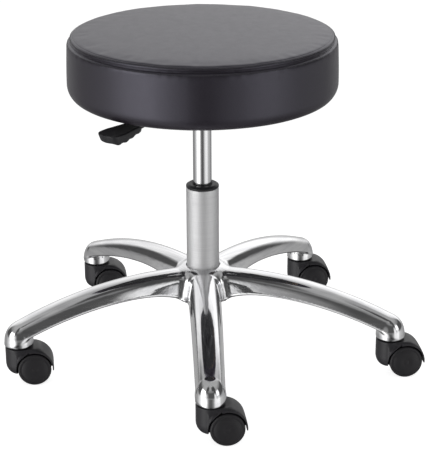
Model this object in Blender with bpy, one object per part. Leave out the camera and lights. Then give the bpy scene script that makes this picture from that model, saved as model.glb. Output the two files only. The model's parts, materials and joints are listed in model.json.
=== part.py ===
"""Round cushioned stool on a gas lift and a five-star caster base.

Units are metres and +Z is up.  The origin is on the floor at the middle of the footprint box.
The casters all trail to one side, so the column stands a little off the origin.
"""
import math

import bmesh
import bpy
from mathutils import Matrix, Vector

# ---- driving dimensions -------------------------------------------------------------------
COLUMN_X = -0.0179          # column axis, measured from the middle of the footprint box
COLUMN_Y = 0.0232
GAP = 0.0003                # clearance between touching pieces

# five-star base
LEG_COUNT = 5
FIRST_LEG_DEG = -88.2       # direction of the front leg
STEM_CIRCLE = 0.295         # column axis to caster stem axis
RIDGE_TOP = 0.147           # height of the leg ridge beside the hub
RIDGE_START = 0.060         # the ridge is level up to here, then follows an arc
RIDGE_ARC = 0.590
LEG_DEPTH = 0.025
LEG_ROOT_DEPTH = 0.040
LEG_ROOT_REACH = 0.048
LEG_DEPTH_FADE = 0.035
LEG_HALF_WIDTH_ROOT = 0.0275
LEG_HALF_WIDTH_TIP = 0.0223
LEG_WALL = 0.004
RIB_REACHES = (0.050, 0.125, 0.200, 0.268)   # cross ribs in the channel under each leg
RIB_HALF = 0.0018
HUB_RADIUS = 0.036
HUB_BOTTOM = 0.092
HUB_TOP = 0.1455
SOCKET_RADIUS = 0.0223
SOCKET_BOTTOM = 0.060
SOCKET_WAIST = 0.066        # the socket's dome springs from here
SOCKET_TOP = 0.0975
SOCKET_BORE = 0.0059
SOCKET_BORE_TOP = 0.085

# casters
WHEEL_RADIUS = 0.025
WHEEL_INNER_FACE = 0.0069   # from the caster's middle plane
WHEEL_OUTER_FACE = 0.0228
WHEEL_TRAIL = 0.0216        # stem axis to axle
CASTER_HEADING_DEG = 6.0    # direction in which all the casters trail
HOOD_TOP = 0.058
HOOD_BOTTOM = 0.0145
HOOD_RADIUS = 0.0213        # round front of the hood, about the stem
HOOD_HALF_WIDTH = 0.022
HOOD_EDGE_RADIUS = 0.0288   # hood's side edge, about the axle
HOOD_CREST_RADIUS = 0.0291  # hood's middle line behind the axle, about the axle
HOOD_CREST_RISE = 0.0045    # it grows by this much towards the flat top
HOOD_WEB_HALF = 0.0063
HOOD_POCKET_RADIUS = 0.0270
AXLE_BOSS_RADIUS = 0.0105
AXLE_RADIUS = 0.003
STEM_RADIUS = 0.0055
STEM_PIVOT_RADIUS = 0.004

# gas lift
TUBE_RADIUS = 0.025
TUBE_WALL = 0.0017
TUBE_BOTTOM = 0.080
TUBE_TOP = 0.274
TUBE_TAPER_RADIUS = 0.0242  # at the foot of the hub
LIFT_RADIUS = 0.014         # pressure tube
LIFT_WALL = 0.0017
LIFT_BOTTOM = 0.202
LIFT_TAPER_START = 0.380
LIFT_TOP = 0.403
LIFT_TAPER_RADIUS = 0.0133
ROD_RADIUS = 0.004
ROD_BOTTOM = 0.075
ROD_TOP = 0.2290
BEARING_BORE = 0.005        # thrust bearing at the foot of the rod
BEARING_RADIUS = 0.012
BALL_RADIUS = 0.0021
BALL_CIRCLE = 0.0085
BALL_HEIGHT = 0.08775
PISTON_RADIUS = 0.0120
BUSH_BOTTOM = 0.214

# seat and mechanism
LEVER_DEG = 229.0
PLATE_HALF = 0.085
PLATE_TOP = 0.421
PLATE_THICKNESS = 0.003
PAN_HALF_LENGTH = 0.050
PAN_HALF_WIDTH = 0.040
PAN_WALL = 0.0025
PAN_BOTTOM = 0.387
BOLT_SPACING_HALF = 0.065
BOLT_RADIUS = 0.003
LEVER_PIVOT_REACH = 0.042
LEVER_PIVOT_HEIGHT = 0.412
LEVER_PIVOT_RADIUS = 0.0025
LEVER_BAR_RADIUS = 0.004
LEVER_BAR_HEIGHT = 0.4005   # inside the paddle
LEVER_BAR_END = 0.190
PADDLE_START = 0.150
PADDLE_END = 0.208
PADDLE_TOP = 0.4055
BOARD_RADIUS = 0.182
BOARD_BOTTOM = 0.4226
BOARD_THICKNESS = 0.012
SEAT_RADIUS = 0.2010
SEAT_TOP = 0.5165
SEAT_BOTTOM = 0.4203
SEAT_EDGE_RADIUS = 0.018    # where the boxing turns in under the board
SEAT_EDGE_HEIGHT = 0.441
SEAT_WRAP_RADIUS = 0.160    # inner edge of the cover, stapled to the board
CUSHION_OFFSET_X = 0.0015   # the cushion sits a little off the column axis
COVER_THICKNESS = 0.0012

COARSE, MEDIUM, FINE = 12, 24, 32   # steps round small, middling and large turned pieces
DRILL_TURN_DEG = 3.0        # a drill's facets are turned, so none of its edges meets the body's own


# ---- scene helpers ------------------------------------------------------------------------
def clear_scene():
    for old in list(bpy.data.objects):
        bpy.data.objects.remove(old, do_unlink=True)


def make_material(name, colour, roughness, metallic=0.0):
    material = bpy.data.materials.new(name)
    material.use_nodes = True
    shader = material.node_tree.nodes["Principled BSDF"]
    shader.inputs["Base Color"].default_value = (*colour, 1.0)
    shader.inputs["Roughness"].default_value = roughness
    shader.inputs["Metallic"].default_value = metallic
    material.diffuse_color = (*colour, 1.0)
    return material


def make_empty(name, parent=None, location=(0, 0, 0), turn_deg=0.0):
    empty = bpy.data.objects.new(name, None)
    bpy.context.collection.objects.link(empty)
    empty.parent = parent
    empty.location = location
    empty.rotation_euler.z = math.radians(turn_deg)
    return empty


def to_mesh(name, bm):
    """Finish a bmesh as a smooth-shaded mesh whose corners stay sharp."""
    bmesh.ops.remove_doubles(bm, verts=bm.verts, dist=1e-6)
    bmesh.ops.recalc_face_normals(bm, faces=bm.faces)
    mesh = bpy.data.meshes.new(name)
    bm.to_mesh(mesh)
    bm.free()
    mesh.shade_smooth()
    mesh.set_sharp_from_angle(angle=math.radians(35))
    return mesh


def place(name, mesh, material, parent, location=(0, 0, 0)):
    """Add one named piece; copies may share a mesh."""
    piece = bpy.data.objects.new(name, mesh)
    bpy.context.collection.objects.link(piece)
    if not mesh.materials:
        mesh.materials.append(material)
    piece.parent = parent
    piece.location = location
    return piece


# ---- shape helpers ------------------------------------------------------------------------
def arc(centre, radii, start_deg, end_deg, steps):
    """Points of an ellipse arc in a 2-D outline."""
    points = []
    for i in range(steps + 1):
        angle = math.radians(start_deg + (end_deg - start_deg) * i / steps)
        points.append((centre[0] + radii[0] * math.cos(angle), centre[1] + radii[1] * math.sin(angle)))
    return points


def lathe(outline, steps, sweep_deg=360.0, ring=False):
    """Turn a (radius, height) outline about Z.  A ring's outline closes on itself."""
    bm = bmesh.new()
    verts = [bm.verts.new((radius, 0.0, height)) for radius, height in outline]
    pairs = list(zip(verts, verts[1:]))
    if ring:
        pairs.append((verts[-1], verts[0]))
    edges = [bm.edges.new(pair) for pair in pairs]
    whole = sweep_deg >= 360.0
    if not whole:
        bm.faces.new(verts)
    bmesh.ops.spin(
        bm, geom=verts + edges, cent=(0, 0, 0), axis=(0, 0, 1),
        angle=math.radians(sweep_deg), steps=steps, use_merge=whole,
    )
    bmesh.ops.remove_doubles(bm, verts=bm.verts, dist=1e-6)
    if not whole:
        open_edges = [edge for edge in bm.edges if edge.is_boundary]
        bmesh.ops.contextual_create(bm, geom=open_edges)
    return bm


def turned(name, outline, steps, **options):
    return to_mesh(name, lathe(outline, steps, **options))


def cylinder(radius, low, high, steps):
    return lathe([(0, low), (radius, low), (radius, high), (0, high)], steps)


def drill(radius, low, high):
    return turn(cylinder(radius, low, high, COARSE), DRILL_TURN_DEG)


def turn(bm, angle_deg):
    """Turn a shape about Z."""
    rotation = Matrix.Rotation(math.radians(angle_deg), 3, "Z")
    bmesh.ops.rotate(bm, verts=bm.verts, cent=(0, 0, 0), matrix=rotation)
    return bm


def across(bm):
    """Lay a shape turned about Z along Y instead."""
    bmesh.ops.rotate(bm, verts=bm.verts, cent=(0, 0, 0), matrix=Matrix.Rotation(math.radians(-90), 3, "X"))
    return bm


def moved(bm, offset):
    bmesh.ops.translate(bm, verts=bm.verts, vec=offset)
    return bm


def box(low, high):
    bm = bmesh.new()
    bmesh.ops.create_cube(bm, size=1.0)
    size = [high[i] - low[i] for i in range(3)]
    middle = [(high[i] + low[i]) / 2 for i in range(3)]
    bmesh.ops.scale(bm, verts=bm.verts, vec=size)
    return moved(bm, middle)


def loft(sections):
    """Skin closed loops of points, all of one length, and cap both ends."""
    bm = bmesh.new()
    loops = [[bm.verts.new(point) for point in section] for section in sections]
    count = len(loops[0])
    for near, far in zip(loops, loops[1:]):
        for i in range(count):
            j = (i + 1) % count
            bm.faces.new((near[i], near[j], far[j], far[i]))
    bm.faces.new(loops[0])
    bm.faces.new(list(reversed(loops[-1])))
    return bm


def prism(outline, half_width):
    """An (x, z) outline extruded to both sides of the XZ plane."""
    return loft([[(x, side * half_width, z) for x, z in outline] for side in (-1, 1)])


def in_fixed_order(mesh):
    """Same mesh with its points and faces sorted by place, so that later steps always meet them alike."""
    places = [tuple(round(value, 6) for value in vertex.co) for vertex in mesh.vertices]
    order = sorted(range(len(places)), key=places.__getitem__)
    rank = {old: new for new, old in enumerate(order)}
    faces = []
    for polygon in mesh.polygons:
        corners = [rank[i] for i in polygon.vertices]
        first = corners.index(min(corners))
        faces.append(tuple(corners[first:] + corners[:first]))
    ordered = bpy.data.meshes.new(mesh.name)
    ordered.from_pydata([mesh.vertices[i].co for i in order], [], sorted(faces))
    return ordered


def combine(name, body, added=(), removed=()):
    """Join solids to a body, then cut others from it, each a bmesh, and return one mesh."""
    work = bpy.data.objects.new(name, to_mesh(name, body))
    bpy.context.collection.objects.link(work)
    for operation, tools in (("UNION", added), ("DIFFERENCE", removed)):
        if not tools:
            continue
        group = bpy.data.collections.new("tools")
        bpy.context.scene.collection.children.link(group)
        for tool in tools:
            group.objects.link(bpy.data.objects.new("tool", to_mesh("tool", tool)))
        step = work.modifiers.new(operation.lower(), "BOOLEAN")
        step.operation = operation
        step.solver = "EXACT"
        step.operand_type = "COLLECTION"
        step.collection = group
        bpy.context.view_layer.update()
        evaluated = work.evaluated_get(bpy.context.evaluated_depsgraph_get())
        result = in_fixed_order(bpy.data.meshes.new_from_object(evaluated))
        work.modifiers.clear()
        work.data = result
        for tool in list(group.objects):
            bpy.data.objects.remove(tool, do_unlink=True)
        bpy.data.collections.remove(group)
    bm = bmesh.new()
    bm.from_mesh(work.data)
    bpy.data.objects.remove(work, do_unlink=True)
    bmesh.ops.remove_doubles(bm, verts=bm.verts, dist=2e-6)
    bmesh.ops.dissolve_degenerate(bm, edges=bm.edges, dist=2e-6)
    bmesh.ops.dissolve_limit(
        bm, angle_limit=math.radians(0.5), verts=bm.verts, edges=bm.edges, use_dissolve_boundaries=False)
    bmesh.ops.triangulate(bm, faces=bm.faces)
    return to_mesh(name, bm)


def inset_outline(outline, distance):
    """Move an open outline inwards, to its right-hand side as it is walked."""
    moved_points = []
    for i, point in enumerate(outline):
        before = Vector(outline[max(i - 1, 0)])
        after = Vector(outline[min(i + 1, len(outline) - 1)])
        along = (after - before).normalized()
        moved_points.append((point[0] + along.y * distance, point[1] - along.x * distance))
    return moved_points


def cut_at_height(outline, height):
    """Keep the part of a falling outline above a height, ending exactly on it."""
    kept = []
    for above, below in zip(outline, outline[1:]):
        kept.append(above)
        if below[1] <= height:
            share = (above[1] - height) / (above[1] - below[1])
            return kept + [(above[0] + share * (below[0] - above[0]), height)]
    return kept


# ---- five-star base -----------------------------------------------------------------------
def ridge_height(reach):
    run = max(reach - RIDGE_START, 0.0)
    return RIDGE_TOP - (RIDGE_ARC - math.sqrt(RIDGE_ARC ** 2 - run ** 2))


def leg_depth(reach):
    past_root = max(reach - LEG_ROOT_REACH, 0.0)
    return LEG_DEPTH + (LEG_ROOT_DEPTH - LEG_DEPTH) * math.exp(-past_root / LEG_DEPTH_FADE)


def leg_half_width(reach):
    share = reach / STEM_CIRCLE
    return LEG_HALF_WIDTH_ROOT + (LEG_HALF_WIDTH_TIP - LEG_HALF_WIDTH_ROOT) * share


def leg_section(reach, inset=0.0):
    """Arched top, soft shoulder and drafted side walls, open below when it is the inset channel."""
    half = leg_half_width(reach) - inset
    top = ridge_height(reach) - inset
    bottom = ridge_height(reach) - leg_depth(reach) - (LEG_WALL if inset else 0.0)
    shoulder = 0.8 * half
    shoulder_drop = 0.54 * shoulder
    arch = [(0.0, 0.0), (0.55 * shoulder, 0.27 * shoulder_drop), (shoulder, shoulder_drop)]
    right = [(y, top - drop) for y, drop in arch] + [(half, bottom)]
    left = [(-y, z) for y, z in reversed(right[1:])]
    return [(reach, y, z) for y, z in left + right]


def base_casting_mesh():
    leg_stations = (0.005, 0.045, 0.080, 0.130, 0.175, 0.220, 0.260, 0.292)
    solids, cuts = [], []
    for k in range(LEG_COUNT):
        leg_deg = FIRST_LEG_DEG + 360.0 * k / LEG_COUNT
        leg = loft([leg_section(reach) for reach in leg_stations])
        socket_outline = (
            [(0, SOCKET_BOTTOM), (SOCKET_RADIUS - 0.0033, SOCKET_BOTTOM)]
            + [(SOCKET_RADIUS, SOCKET_BOTTOM + 0.004)]
            + arc((0, SOCKET_WAIST), (SOCKET_RADIUS, SOCKET_TOP - SOCKET_WAIST), 0, 90, 3)
        )
        socket = moved(lathe(socket_outline, 20), (STEM_CIRCLE, 0, 0))
        bore = moved(drill(SOCKET_BORE, SOCKET_BOTTOM - 0.01, SOCKET_BORE_TOP), (STEM_CIRCLE, 0, 0))
        solids += [turn(leg, leg_deg), turn(socket, leg_deg)]
        cuts.append(turn(bore, leg_deg))
        for start, end in zip(RIB_REACHES, RIB_REACHES[1:]):
            bay_stations = (start + RIB_HALF, (start + end) / 2, end - RIB_HALF)
            bay = loft([leg_section(reach, LEG_WALL) for reach in bay_stations])
            cuts.append(turn(bay, leg_deg))
    hub = lathe(
        [(0, HUB_BOTTOM), (HUB_RADIUS - 0.002, HUB_BOTTOM), (HUB_RADIUS + 0.002, HUB_BOTTOM + 0.003),
         (HUB_RADIUS, HUB_TOP - 0.010), (HUB_RADIUS - 0.004, HUB_TOP - 0.002), (HUB_RADIUS - 0.008, HUB_TOP),
         (0, HUB_TOP)], FINE)
    cuts.append(lathe(
        [(0, HUB_BOTTOM - 0.01), (TUBE_TAPER_RADIUS + GAP, HUB_BOTTOM - 0.01),
         (TUBE_TAPER_RADIUS + GAP, HUB_BOTTOM), (TUBE_RADIUS + GAP, HUB_TOP),
         (TUBE_RADIUS + GAP, HUB_TOP + 0.01), (0, HUB_TOP + 0.01)], FINE))
    return combine("base_casting", turn(hub, DRILL_TURN_DEG), solids, cuts)


# ---- gas lift -----------------------------------------------------------------------------
def column_tube_mesh():
    inner = TUBE_RADIUS - TUBE_WALL
    rod_hole, floor = ROD_RADIUS + 0.0006, 0.003
    outline = [
        (rod_hole, TUBE_BOTTOM), (TUBE_TAPER_RADIUS - 0.001, TUBE_BOTTOM),
        (TUBE_TAPER_RADIUS, TUBE_BOTTOM + 0.001), (TUBE_TAPER_RADIUS, HUB_BOTTOM), (TUBE_RADIUS, HUB_TOP),
        (TUBE_RADIUS, TUBE_TOP), (inner, TUBE_TOP), (inner, HUB_TOP), (inner - 0.0008, HUB_BOTTOM),
        (inner - 0.0008, TUBE_BOTTOM + floor), (rod_hole, TUBE_BOTTOM + floor),
    ]
    return turned("column_tube", outline, FINE, ring=True)


def guide_bush_mesh():
    bore = LIFT_RADIUS + 0.00035
    sleeve = TUBE_RADIUS - TUBE_WALL - 0.0004
    flange = TUBE_TOP + GAP
    outline = [
        (bore, BUSH_BOTTOM), (sleeve, BUSH_BOTTOM), (sleeve, flange), (TUBE_RADIUS, flange),
        (TUBE_RADIUS + 0.0002, flange + 0.0025), (TUBE_RADIUS - 0.001, flange + 0.0043),
        (TUBE_RADIUS - 0.004, flange + 0.0052),
        (bore + 0.001, flange + 0.0052), (bore, flange + 0.0044),
    ]
    return turned("guide_bush", outline, FINE, ring=True)


def bearing_cage_mesh():
    half = 0.0009
    ring = lathe(
        ring_outline(BEARING_BORE + 0.0006, BEARING_RADIUS - 0.0006, BALL_HEIGHT - half, BALL_HEIGHT + half),
        COARSE, ring=True)
    balls = []
    for k in range(8):
        ball = bmesh.new()
        bmesh.ops.create_icosphere(ball, subdivisions=1, radius=BALL_RADIUS)
        angle = math.radians(45.0 * k + 7.0)
        balls.append(moved(ball, (BALL_CIRCLE * math.cos(angle), BALL_CIRCLE * math.sin(angle), BALL_HEIGHT)))
    return combine("bearing_ball_cage", ring, balls)


def ring_outline(inner, outer, low, high):
    return [(inner, low), (outer, low), (outer, high), (inner, high)]


def piston_rod_outline():
    clip_low, clip_high = 0.0766, 0.0789
    collar_low, collar_high, collar_radius = 0.0922, 0.0940, 0.0068
    shoulder, head_low = 0.2140, 0.2264
    groove, neck, head = 0.0032, 0.003, 0.005
    return [
        (0, ROD_BOTTOM), (ROD_RADIUS, ROD_BOTTOM), (ROD_RADIUS, clip_low), (groove, clip_low),
        (groove, clip_high), (ROD_RADIUS, clip_high), (ROD_RADIUS, collar_low), (collar_radius, collar_low),
        (collar_radius, collar_high), (ROD_RADIUS, collar_high), (ROD_RADIUS, shoulder), (neck, shoulder),
        (neck, head_low), (head, head_low), (head, ROD_TOP), (0, ROD_TOP),
    ]


def pressure_tube_outline():
    inner = LIFT_RADIUS - LIFT_WALL
    lip, mouth = 0.002, 0.008
    return [
        (inner, LIFT_BOTTOM), (LIFT_RADIUS - 0.0006, LIFT_BOTTOM), (LIFT_RADIUS, LIFT_BOTTOM + 0.0008),
        (LIFT_RADIUS, LIFT_TAPER_START), (LIFT_TAPER_RADIUS, LIFT_TOP), (mouth, LIFT_TOP),
        (mouth, LIFT_TOP - lip),
        (LIFT_TAPER_RADIUS - LIFT_WALL, LIFT_TOP - lip), (inner, LIFT_TAPER_START),
    ]


# ---- seat and its mechanism ---------------------------------------------------------------
def seat_outline():
    """Cover's outer face, from the middle of the flat crown down the side and in under the board."""
    return (
        [(0.150, SEAT_TOP), (0.180, SEAT_TOP - 0.0012), (0.1905, SEAT_TOP - 0.0045)]
        + [(0.1945, SEAT_TOP - 0.0090), (0.1985, SEAT_TOP - 0.0190), (SEAT_RADIUS, SEAT_TOP - 0.0325)]
        + arc((SEAT_RADIUS - SEAT_EDGE_RADIUS, SEAT_EDGE_HEIGHT),
              (SEAT_EDGE_RADIUS, SEAT_EDGE_HEIGHT - SEAT_BOTTOM), 0, -90, 4)
        + [(SEAT_WRAP_RADIUS, SEAT_BOTTOM)]
    )


def seat_cover_mesh():
    outer = seat_outline()
    inner = inset_outline(outer, COVER_THICKNESS)
    inner[0] = (inner[0][0], SEAT_TOP - COVER_THICKNESS)
    outline = [(0, SEAT_TOP)] + outer + list(reversed(inner)) + [(0, SEAT_TOP - COVER_THICKNESS)]
    return turned("seat_cover", outline, FINE)


def seat_foam_mesh():
    clearance = COVER_THICKNESS + GAP
    board_top = BOARD_BOTTOM + BOARD_THICKNESS + GAP
    skin = cut_at_height(inset_outline(seat_outline(), clearance), board_top)
    outline = [(0, SEAT_TOP - clearance)] + skin + [(0, board_top)]
    return turned("seat_foam", outline, FINE)


def bolt_places():
    return [(x * BOLT_SPACING_HALF, y * BOLT_SPACING_HALF) for x, y in ((1, 1), (-1, 1), (-1, -1), (1, -1))]


def seat_board_mesh():
    top = BOARD_BOTTOM + BOARD_THICKNESS
    board = cylinder(BOARD_RADIUS, BOARD_BOTTOM, top, FINE)
    cuts = []
    for x, y in bolt_places():
        step = lathe(
            [(0, BOARD_BOTTOM - 0.01), (0.0045, BOARD_BOTTOM - 0.01), (0.0045, top - 0.0021),
             (0.0095, top - 0.0021), (0.0095, top + 0.01), (0, top + 0.01)], COARSE)
        cuts.append(moved(step, (x, y, 0)))
    return combine("seat_board", board, removed=cuts)


def dust_cover_mesh():
    low, thickness = PLATE_TOP + GAP, 0.0008
    sheet = cylinder(SEAT_WRAP_RADIUS - 0.004, low, low + thickness, FINE)
    cuts = [moved(drill(0.0040, low - 0.01, low + 0.01), (x, y, 0)) for x, y in bolt_places()]
    return combine("dust_cover", sheet, removed=cuts)


def seat_plate_mesh():
    """Pressed plate with a pan below it: the pan holds the lever's pivot and the taper socket."""
    low = PLATE_TOP - PLATE_THICKNESS
    flange = box((-PLATE_HALF, -PLATE_HALF, low), (PLATE_HALF, PLATE_HALF, PLATE_TOP))
    heights = {edge: abs(edge.verts[0].co.z - edge.verts[1].co.z) for edge in flange.edges}
    corners = [edge for edge, height in heights.items() if height > PLATE_THICKNESS / 2]
    bmesh.ops.bevel(flange, geom=corners, offset=0.014, segments=3, profile=0.5, affect="EDGES")
    pan = box((-PAN_HALF_LENGTH, -PAN_HALF_WIDTH, PAN_BOTTOM), (PAN_HALF_LENGTH, PAN_HALF_WIDTH, low + 0.001))
    hollow = box(
        (-PAN_HALF_LENGTH + PAN_WALL, -PAN_HALF_WIDTH + PAN_WALL, PAN_BOTTOM + PAN_WALL),
        (PAN_HALF_LENGTH - PAN_WALL, PAN_HALF_WIDTH - PAN_WALL, PLATE_TOP + 0.01))
    slot = box((PAN_HALF_LENGTH - 0.01, -0.0085, 0.4010), (PAN_HALF_LENGTH + 0.01, 0.0085, low - 0.0004))
    socket = lathe(taper_socket_outline(), MEDIUM)
    socket_bore = lathe(taper_bore_outline(), MEDIUM)
    pivot_hole = across(drill(LEVER_PIVOT_RADIUS + GAP, -0.05, 0.05))
    pivot_hole = moved(pivot_hole, (LEVER_PIVOT_REACH, 0, LEVER_PIVOT_HEIGHT))
    cuts = [slot, socket_bore, pivot_hole]
    cuts += [moved(drill(0.0034, low - 0.01, PLATE_TOP + 0.01), (x, y, 0)) for x, y in bolt_places()]
    shell = combine("seat_plate", flange, [pan], [hollow])
    body = bmesh.new()
    body.from_mesh(shell)
    return combine("seat_plate", body, [socket], cuts)


def taper_socket_outline():
    """Collar welded through the pan's floor; it grips the top of the pressure tube."""
    weld, radius, bead = PAN_BOTTOM + PAN_WALL, 0.0197, 0.002
    return [
        (0, LIFT_TAPER_START), (radius, LIFT_TAPER_START), (radius, weld), (0.0215, weld),
        (radius, weld + bead), (0.0185, LIFT_TOP), (0, LIFT_TOP),
    ]


def taper_bore_outline():
    bore_low, bore_high = LIFT_RADIUS + GAP, LIFT_TAPER_RADIUS + GAP
    return [
        (0, LIFT_TAPER_START - 0.01), (bore_low, LIFT_TAPER_START - 0.01), (bore_low, LIFT_TAPER_START),
        (bore_high, LIFT_TOP), (bore_high, LIFT_TOP + 0.001), (0, LIFT_TOP + 0.001),
    ]


def bolt_mesh():
    """Hex-headed bolt, head down."""
    head_top = PLATE_TOP - PLATE_THICKNESS - GAP
    head = cylinder(0.0055, head_top - 0.004, head_top, 6)
    shank = cylinder(BOLT_RADIUS, head_top - 0.001, 0.4335, COARSE)
    return combine("plate_bolt", head, [shank])


def tee_nut_outline():
    top = BOARD_BOTTOM + BOARD_THICKNESS - 0.0003
    flange = top - 0.0015
    bore = BOLT_RADIUS + GAP
    barrel, rim, depth = 0.0042, 0.0090, 0.009
    return [
        (bore, top - depth), (barrel, top - depth), (barrel, flange), (rim, flange), (rim, top), (bore, top),
    ]


def pivot_pin_mesh():
    half = PAN_HALF_WIDTH + 0.0015
    head, head_end, head_start = 0.0045, -half - 0.002, -PAN_HALF_WIDTH - GAP
    outline = [
        (0, head_end), (head, head_end), (head, head_start), (LEVER_PIVOT_RADIUS, head_start),
        (LEVER_PIVOT_RADIUS, half), (0, half),
    ]
    return to_mesh("lever_pivot_pin", across(lathe(outline, COARSE)))


def tube_along(path, radius, steps):
    """A round bar in the XZ plane through the path's points."""
    sections = []
    for i, (x, z) in enumerate(path):
        before, after = path[max(i - 1, 0)], path[min(i + 1, len(path) - 1)]
        along = Vector((after[0] - before[0], 0, after[1] - before[1])).normalized()
        upward = along.cross(Vector((0, 1, 0)))
        ring = []
        for k in range(steps):
            angle = 2 * math.pi * k / steps
            outward = math.cos(angle) * Vector((0, 1, 0)) + math.sin(angle) * upward
            ring.append(Vector((x, 0, z)) + radius * outward)
        sections.append(ring)
    return loft(sections)


def lever_bar_mesh():
    """Tongue over the release pin, pivot barrel, and a bent bar out to the paddle."""
    height = LEVER_PIVOT_HEIGHT
    path = [
        (LEVER_PIVOT_REACH, height), (0.056, height), (0.064, height - 0.0009),
        (0.134, LEVER_BAR_HEIGHT + 0.0008), (0.142, LEVER_BAR_HEIGHT), (LEVER_BAR_END, LEVER_BAR_HEIGHT),
    ]
    bar = tube_along(path, LEVER_BAR_RADIUS, COARSE)
    tongue = box((-0.007, -0.007, height - 0.0016), (LEVER_PIVOT_REACH, 0.007, height + 0.0024))
    barrel = moved(across(cylinder(0.0055, -0.012, 0.012, COARSE)), (LEVER_PIVOT_REACH, 0, height))
    bore = moved(across(drill(LEVER_PIVOT_RADIUS + GAP, -0.02, 0.02)), (LEVER_PIVOT_REACH, 0, height))
    return combine("lever_bar", bar, [tongue, barrel], [bore])


def paddle_section(reach):
    """Flat top and rounded flanks; deepest under the finger grip, shallow at the neck and the nose."""
    share = (reach - PADDLE_START) / (PADDLE_END - PADDLE_START)
    half = 0.0135 + 0.0060 * min(share / 0.6, 1.0) - 0.009 * max(share - 0.85, 0.0) / 0.15
    deep = 0.0100 + 0.0035 * min(share / 0.5, 1.0) - 0.005 * max(share - 0.8, 0.0) / 0.2
    low = PADDLE_TOP - deep
    right = [(half - 0.002, PADDLE_TOP), (half, PADDLE_TOP - 0.002)]
    right += [(half - 0.001, low + 0.004), (half - 0.005, low)]
    left = [(-y, z) for y, z in reversed(right)]
    return [(reach, y, z) for y, z in right + left]


def lever_paddle_mesh():
    stations = [PADDLE_START + (PADDLE_END - PADDLE_START) * share for share in (0.0, 0.3, 0.6, 0.85, 1.0)]
    bore_ends = [(PADDLE_START - 0.01, LEVER_BAR_HEIGHT), (LEVER_BAR_END + 0.0005, LEVER_BAR_HEIGHT)]
    bore = tube_along(bore_ends, LEVER_BAR_RADIUS + GAP, COARSE)
    return combine("lever_paddle", loft([paddle_section(reach) for reach in stations]), removed=[bore])


# ---- casters ------------------------------------------------------------------------------
def wheel_mesh(side):
    """Plain moulded wheel with a blind bore; side is -1 for the near wheel and 1 for the far one."""
    width = WHEEL_OUTER_FACE - WHEEL_INNER_FACE
    bore, bore_depth = AXLE_RADIUS + GAP, 0.0125
    outline = [
        (0, bore_depth), (bore, bore_depth), (bore, 0), (WHEEL_RADIUS, 0), (WHEEL_RADIUS, width - 0.0025),
        (WHEEL_RADIUS - 0.0025, width), (0, width),
    ]
    wheel = moved(lathe(outline, MEDIUM), (0, 0, WHEEL_INNER_FACE))
    if side < 0:
        bmesh.ops.rotate(wheel, verts=wheel.verts, cent=(0, 0, 0), matrix=Matrix.Rotation(math.pi, 3, "X"))
    return to_mesh("wheel", across(wheel))


def hood_crest(angle_deg):
    """Distance from the axle to the hood's middle line, which stays under the flat top."""
    reach = HOOD_CREST_RADIUS + HOOD_CREST_RISE * (angle_deg / 75.0) ** 2
    if angle_deg > 20:
        reach = min(reach, (HOOD_TOP - WHEEL_RADIUS) / math.sin(math.radians(angle_deg)))
    return reach


def hood_dome():
    """Mudguard over both wheels: crowned across, thinnest at its trailing tip."""
    tip_deg, front_deg, steps, core = -5.0, 106.0, 7, 0.020
    sections = []
    for i in range(steps + 1):
        angle_deg = tip_deg + (front_deg - tip_deg) * i / steps
        angle = math.radians(angle_deg)
        crest = hood_crest(angle_deg)
        section = []
        for k in range(7):
            y = HOOD_HALF_WIDTH * math.sin(math.radians(-90 + 30 * k))
            rise = (1 - abs(y / HOOD_HALF_WIDTH) ** 2.5) ** 0.4
            reach = HOOD_EDGE_RADIUS + (crest - HOOD_EDGE_RADIUS) * rise
            section.append((WHEEL_TRAIL + reach * math.cos(angle), y, WHEEL_RADIUS + reach * math.sin(angle)))
        for y in (HOOD_HALF_WIDTH, -HOOD_HALF_WIDTH):
            section.append((WHEEL_TRAIL + core * math.cos(angle), y, WHEEL_RADIUS + core * math.sin(angle)))
        sections.append(section)
    return loft(sections)


def hood_mesh():
    across_radius, up_radius, top = 0.013, 0.018, HOOD_TOP - 0.0001
    underside = arc((HOOD_RADIUS - across_radius, HOOD_BOTTOM + up_radius), (across_radius, up_radius), -90, 0, 3)
    front_outline = [(0, HOOD_BOTTOM)] + underside + [(HOOD_RADIUS, top), (0, top)]
    front = lathe(front_outline, MEDIUM)
    boss = arc((WHEEL_TRAIL, WHEEL_RADIUS), (AXLE_BOSS_RADIUS, AXLE_BOSS_RADIUS), -90, 0, 3)
    web_front, web_top = -0.010, HOOD_TOP - 0.004
    web_outline = [(web_front, 0.0143), (WHEEL_TRAIL - 0.010, HOOD_BOTTOM)] + boss + [
        (WHEEL_TRAIL + 0.022, WHEEL_RADIUS + 0.010), (WHEEL_TRAIL, web_top), (web_front, web_top)]
    axle = (WHEEL_TRAIL, 0, WHEEL_RADIUS)
    pockets = [
        moved(across(cylinder(HOOD_POCKET_RADIUS, HOOD_WEB_HALF, 0.040, MEDIUM)), axle),
        moved(across(cylinder(HOOD_POCKET_RADIUS, -0.040, -HOOD_WEB_HALF, MEDIUM)), axle),
    ]
    stem_bore = drill(STEM_PIVOT_RADIUS + GAP, 0.0315, HOOD_TOP + 0.01)
    axle_bore = moved(across(drill(AXLE_RADIUS + GAP, -0.010, 0.010)), axle)
    web = prism(web_outline, HOOD_WEB_HALF - 0.00005)
    return combine("caster_hood", front, [hood_dome(), web], pockets + [stem_bore, axle_bore])


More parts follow.
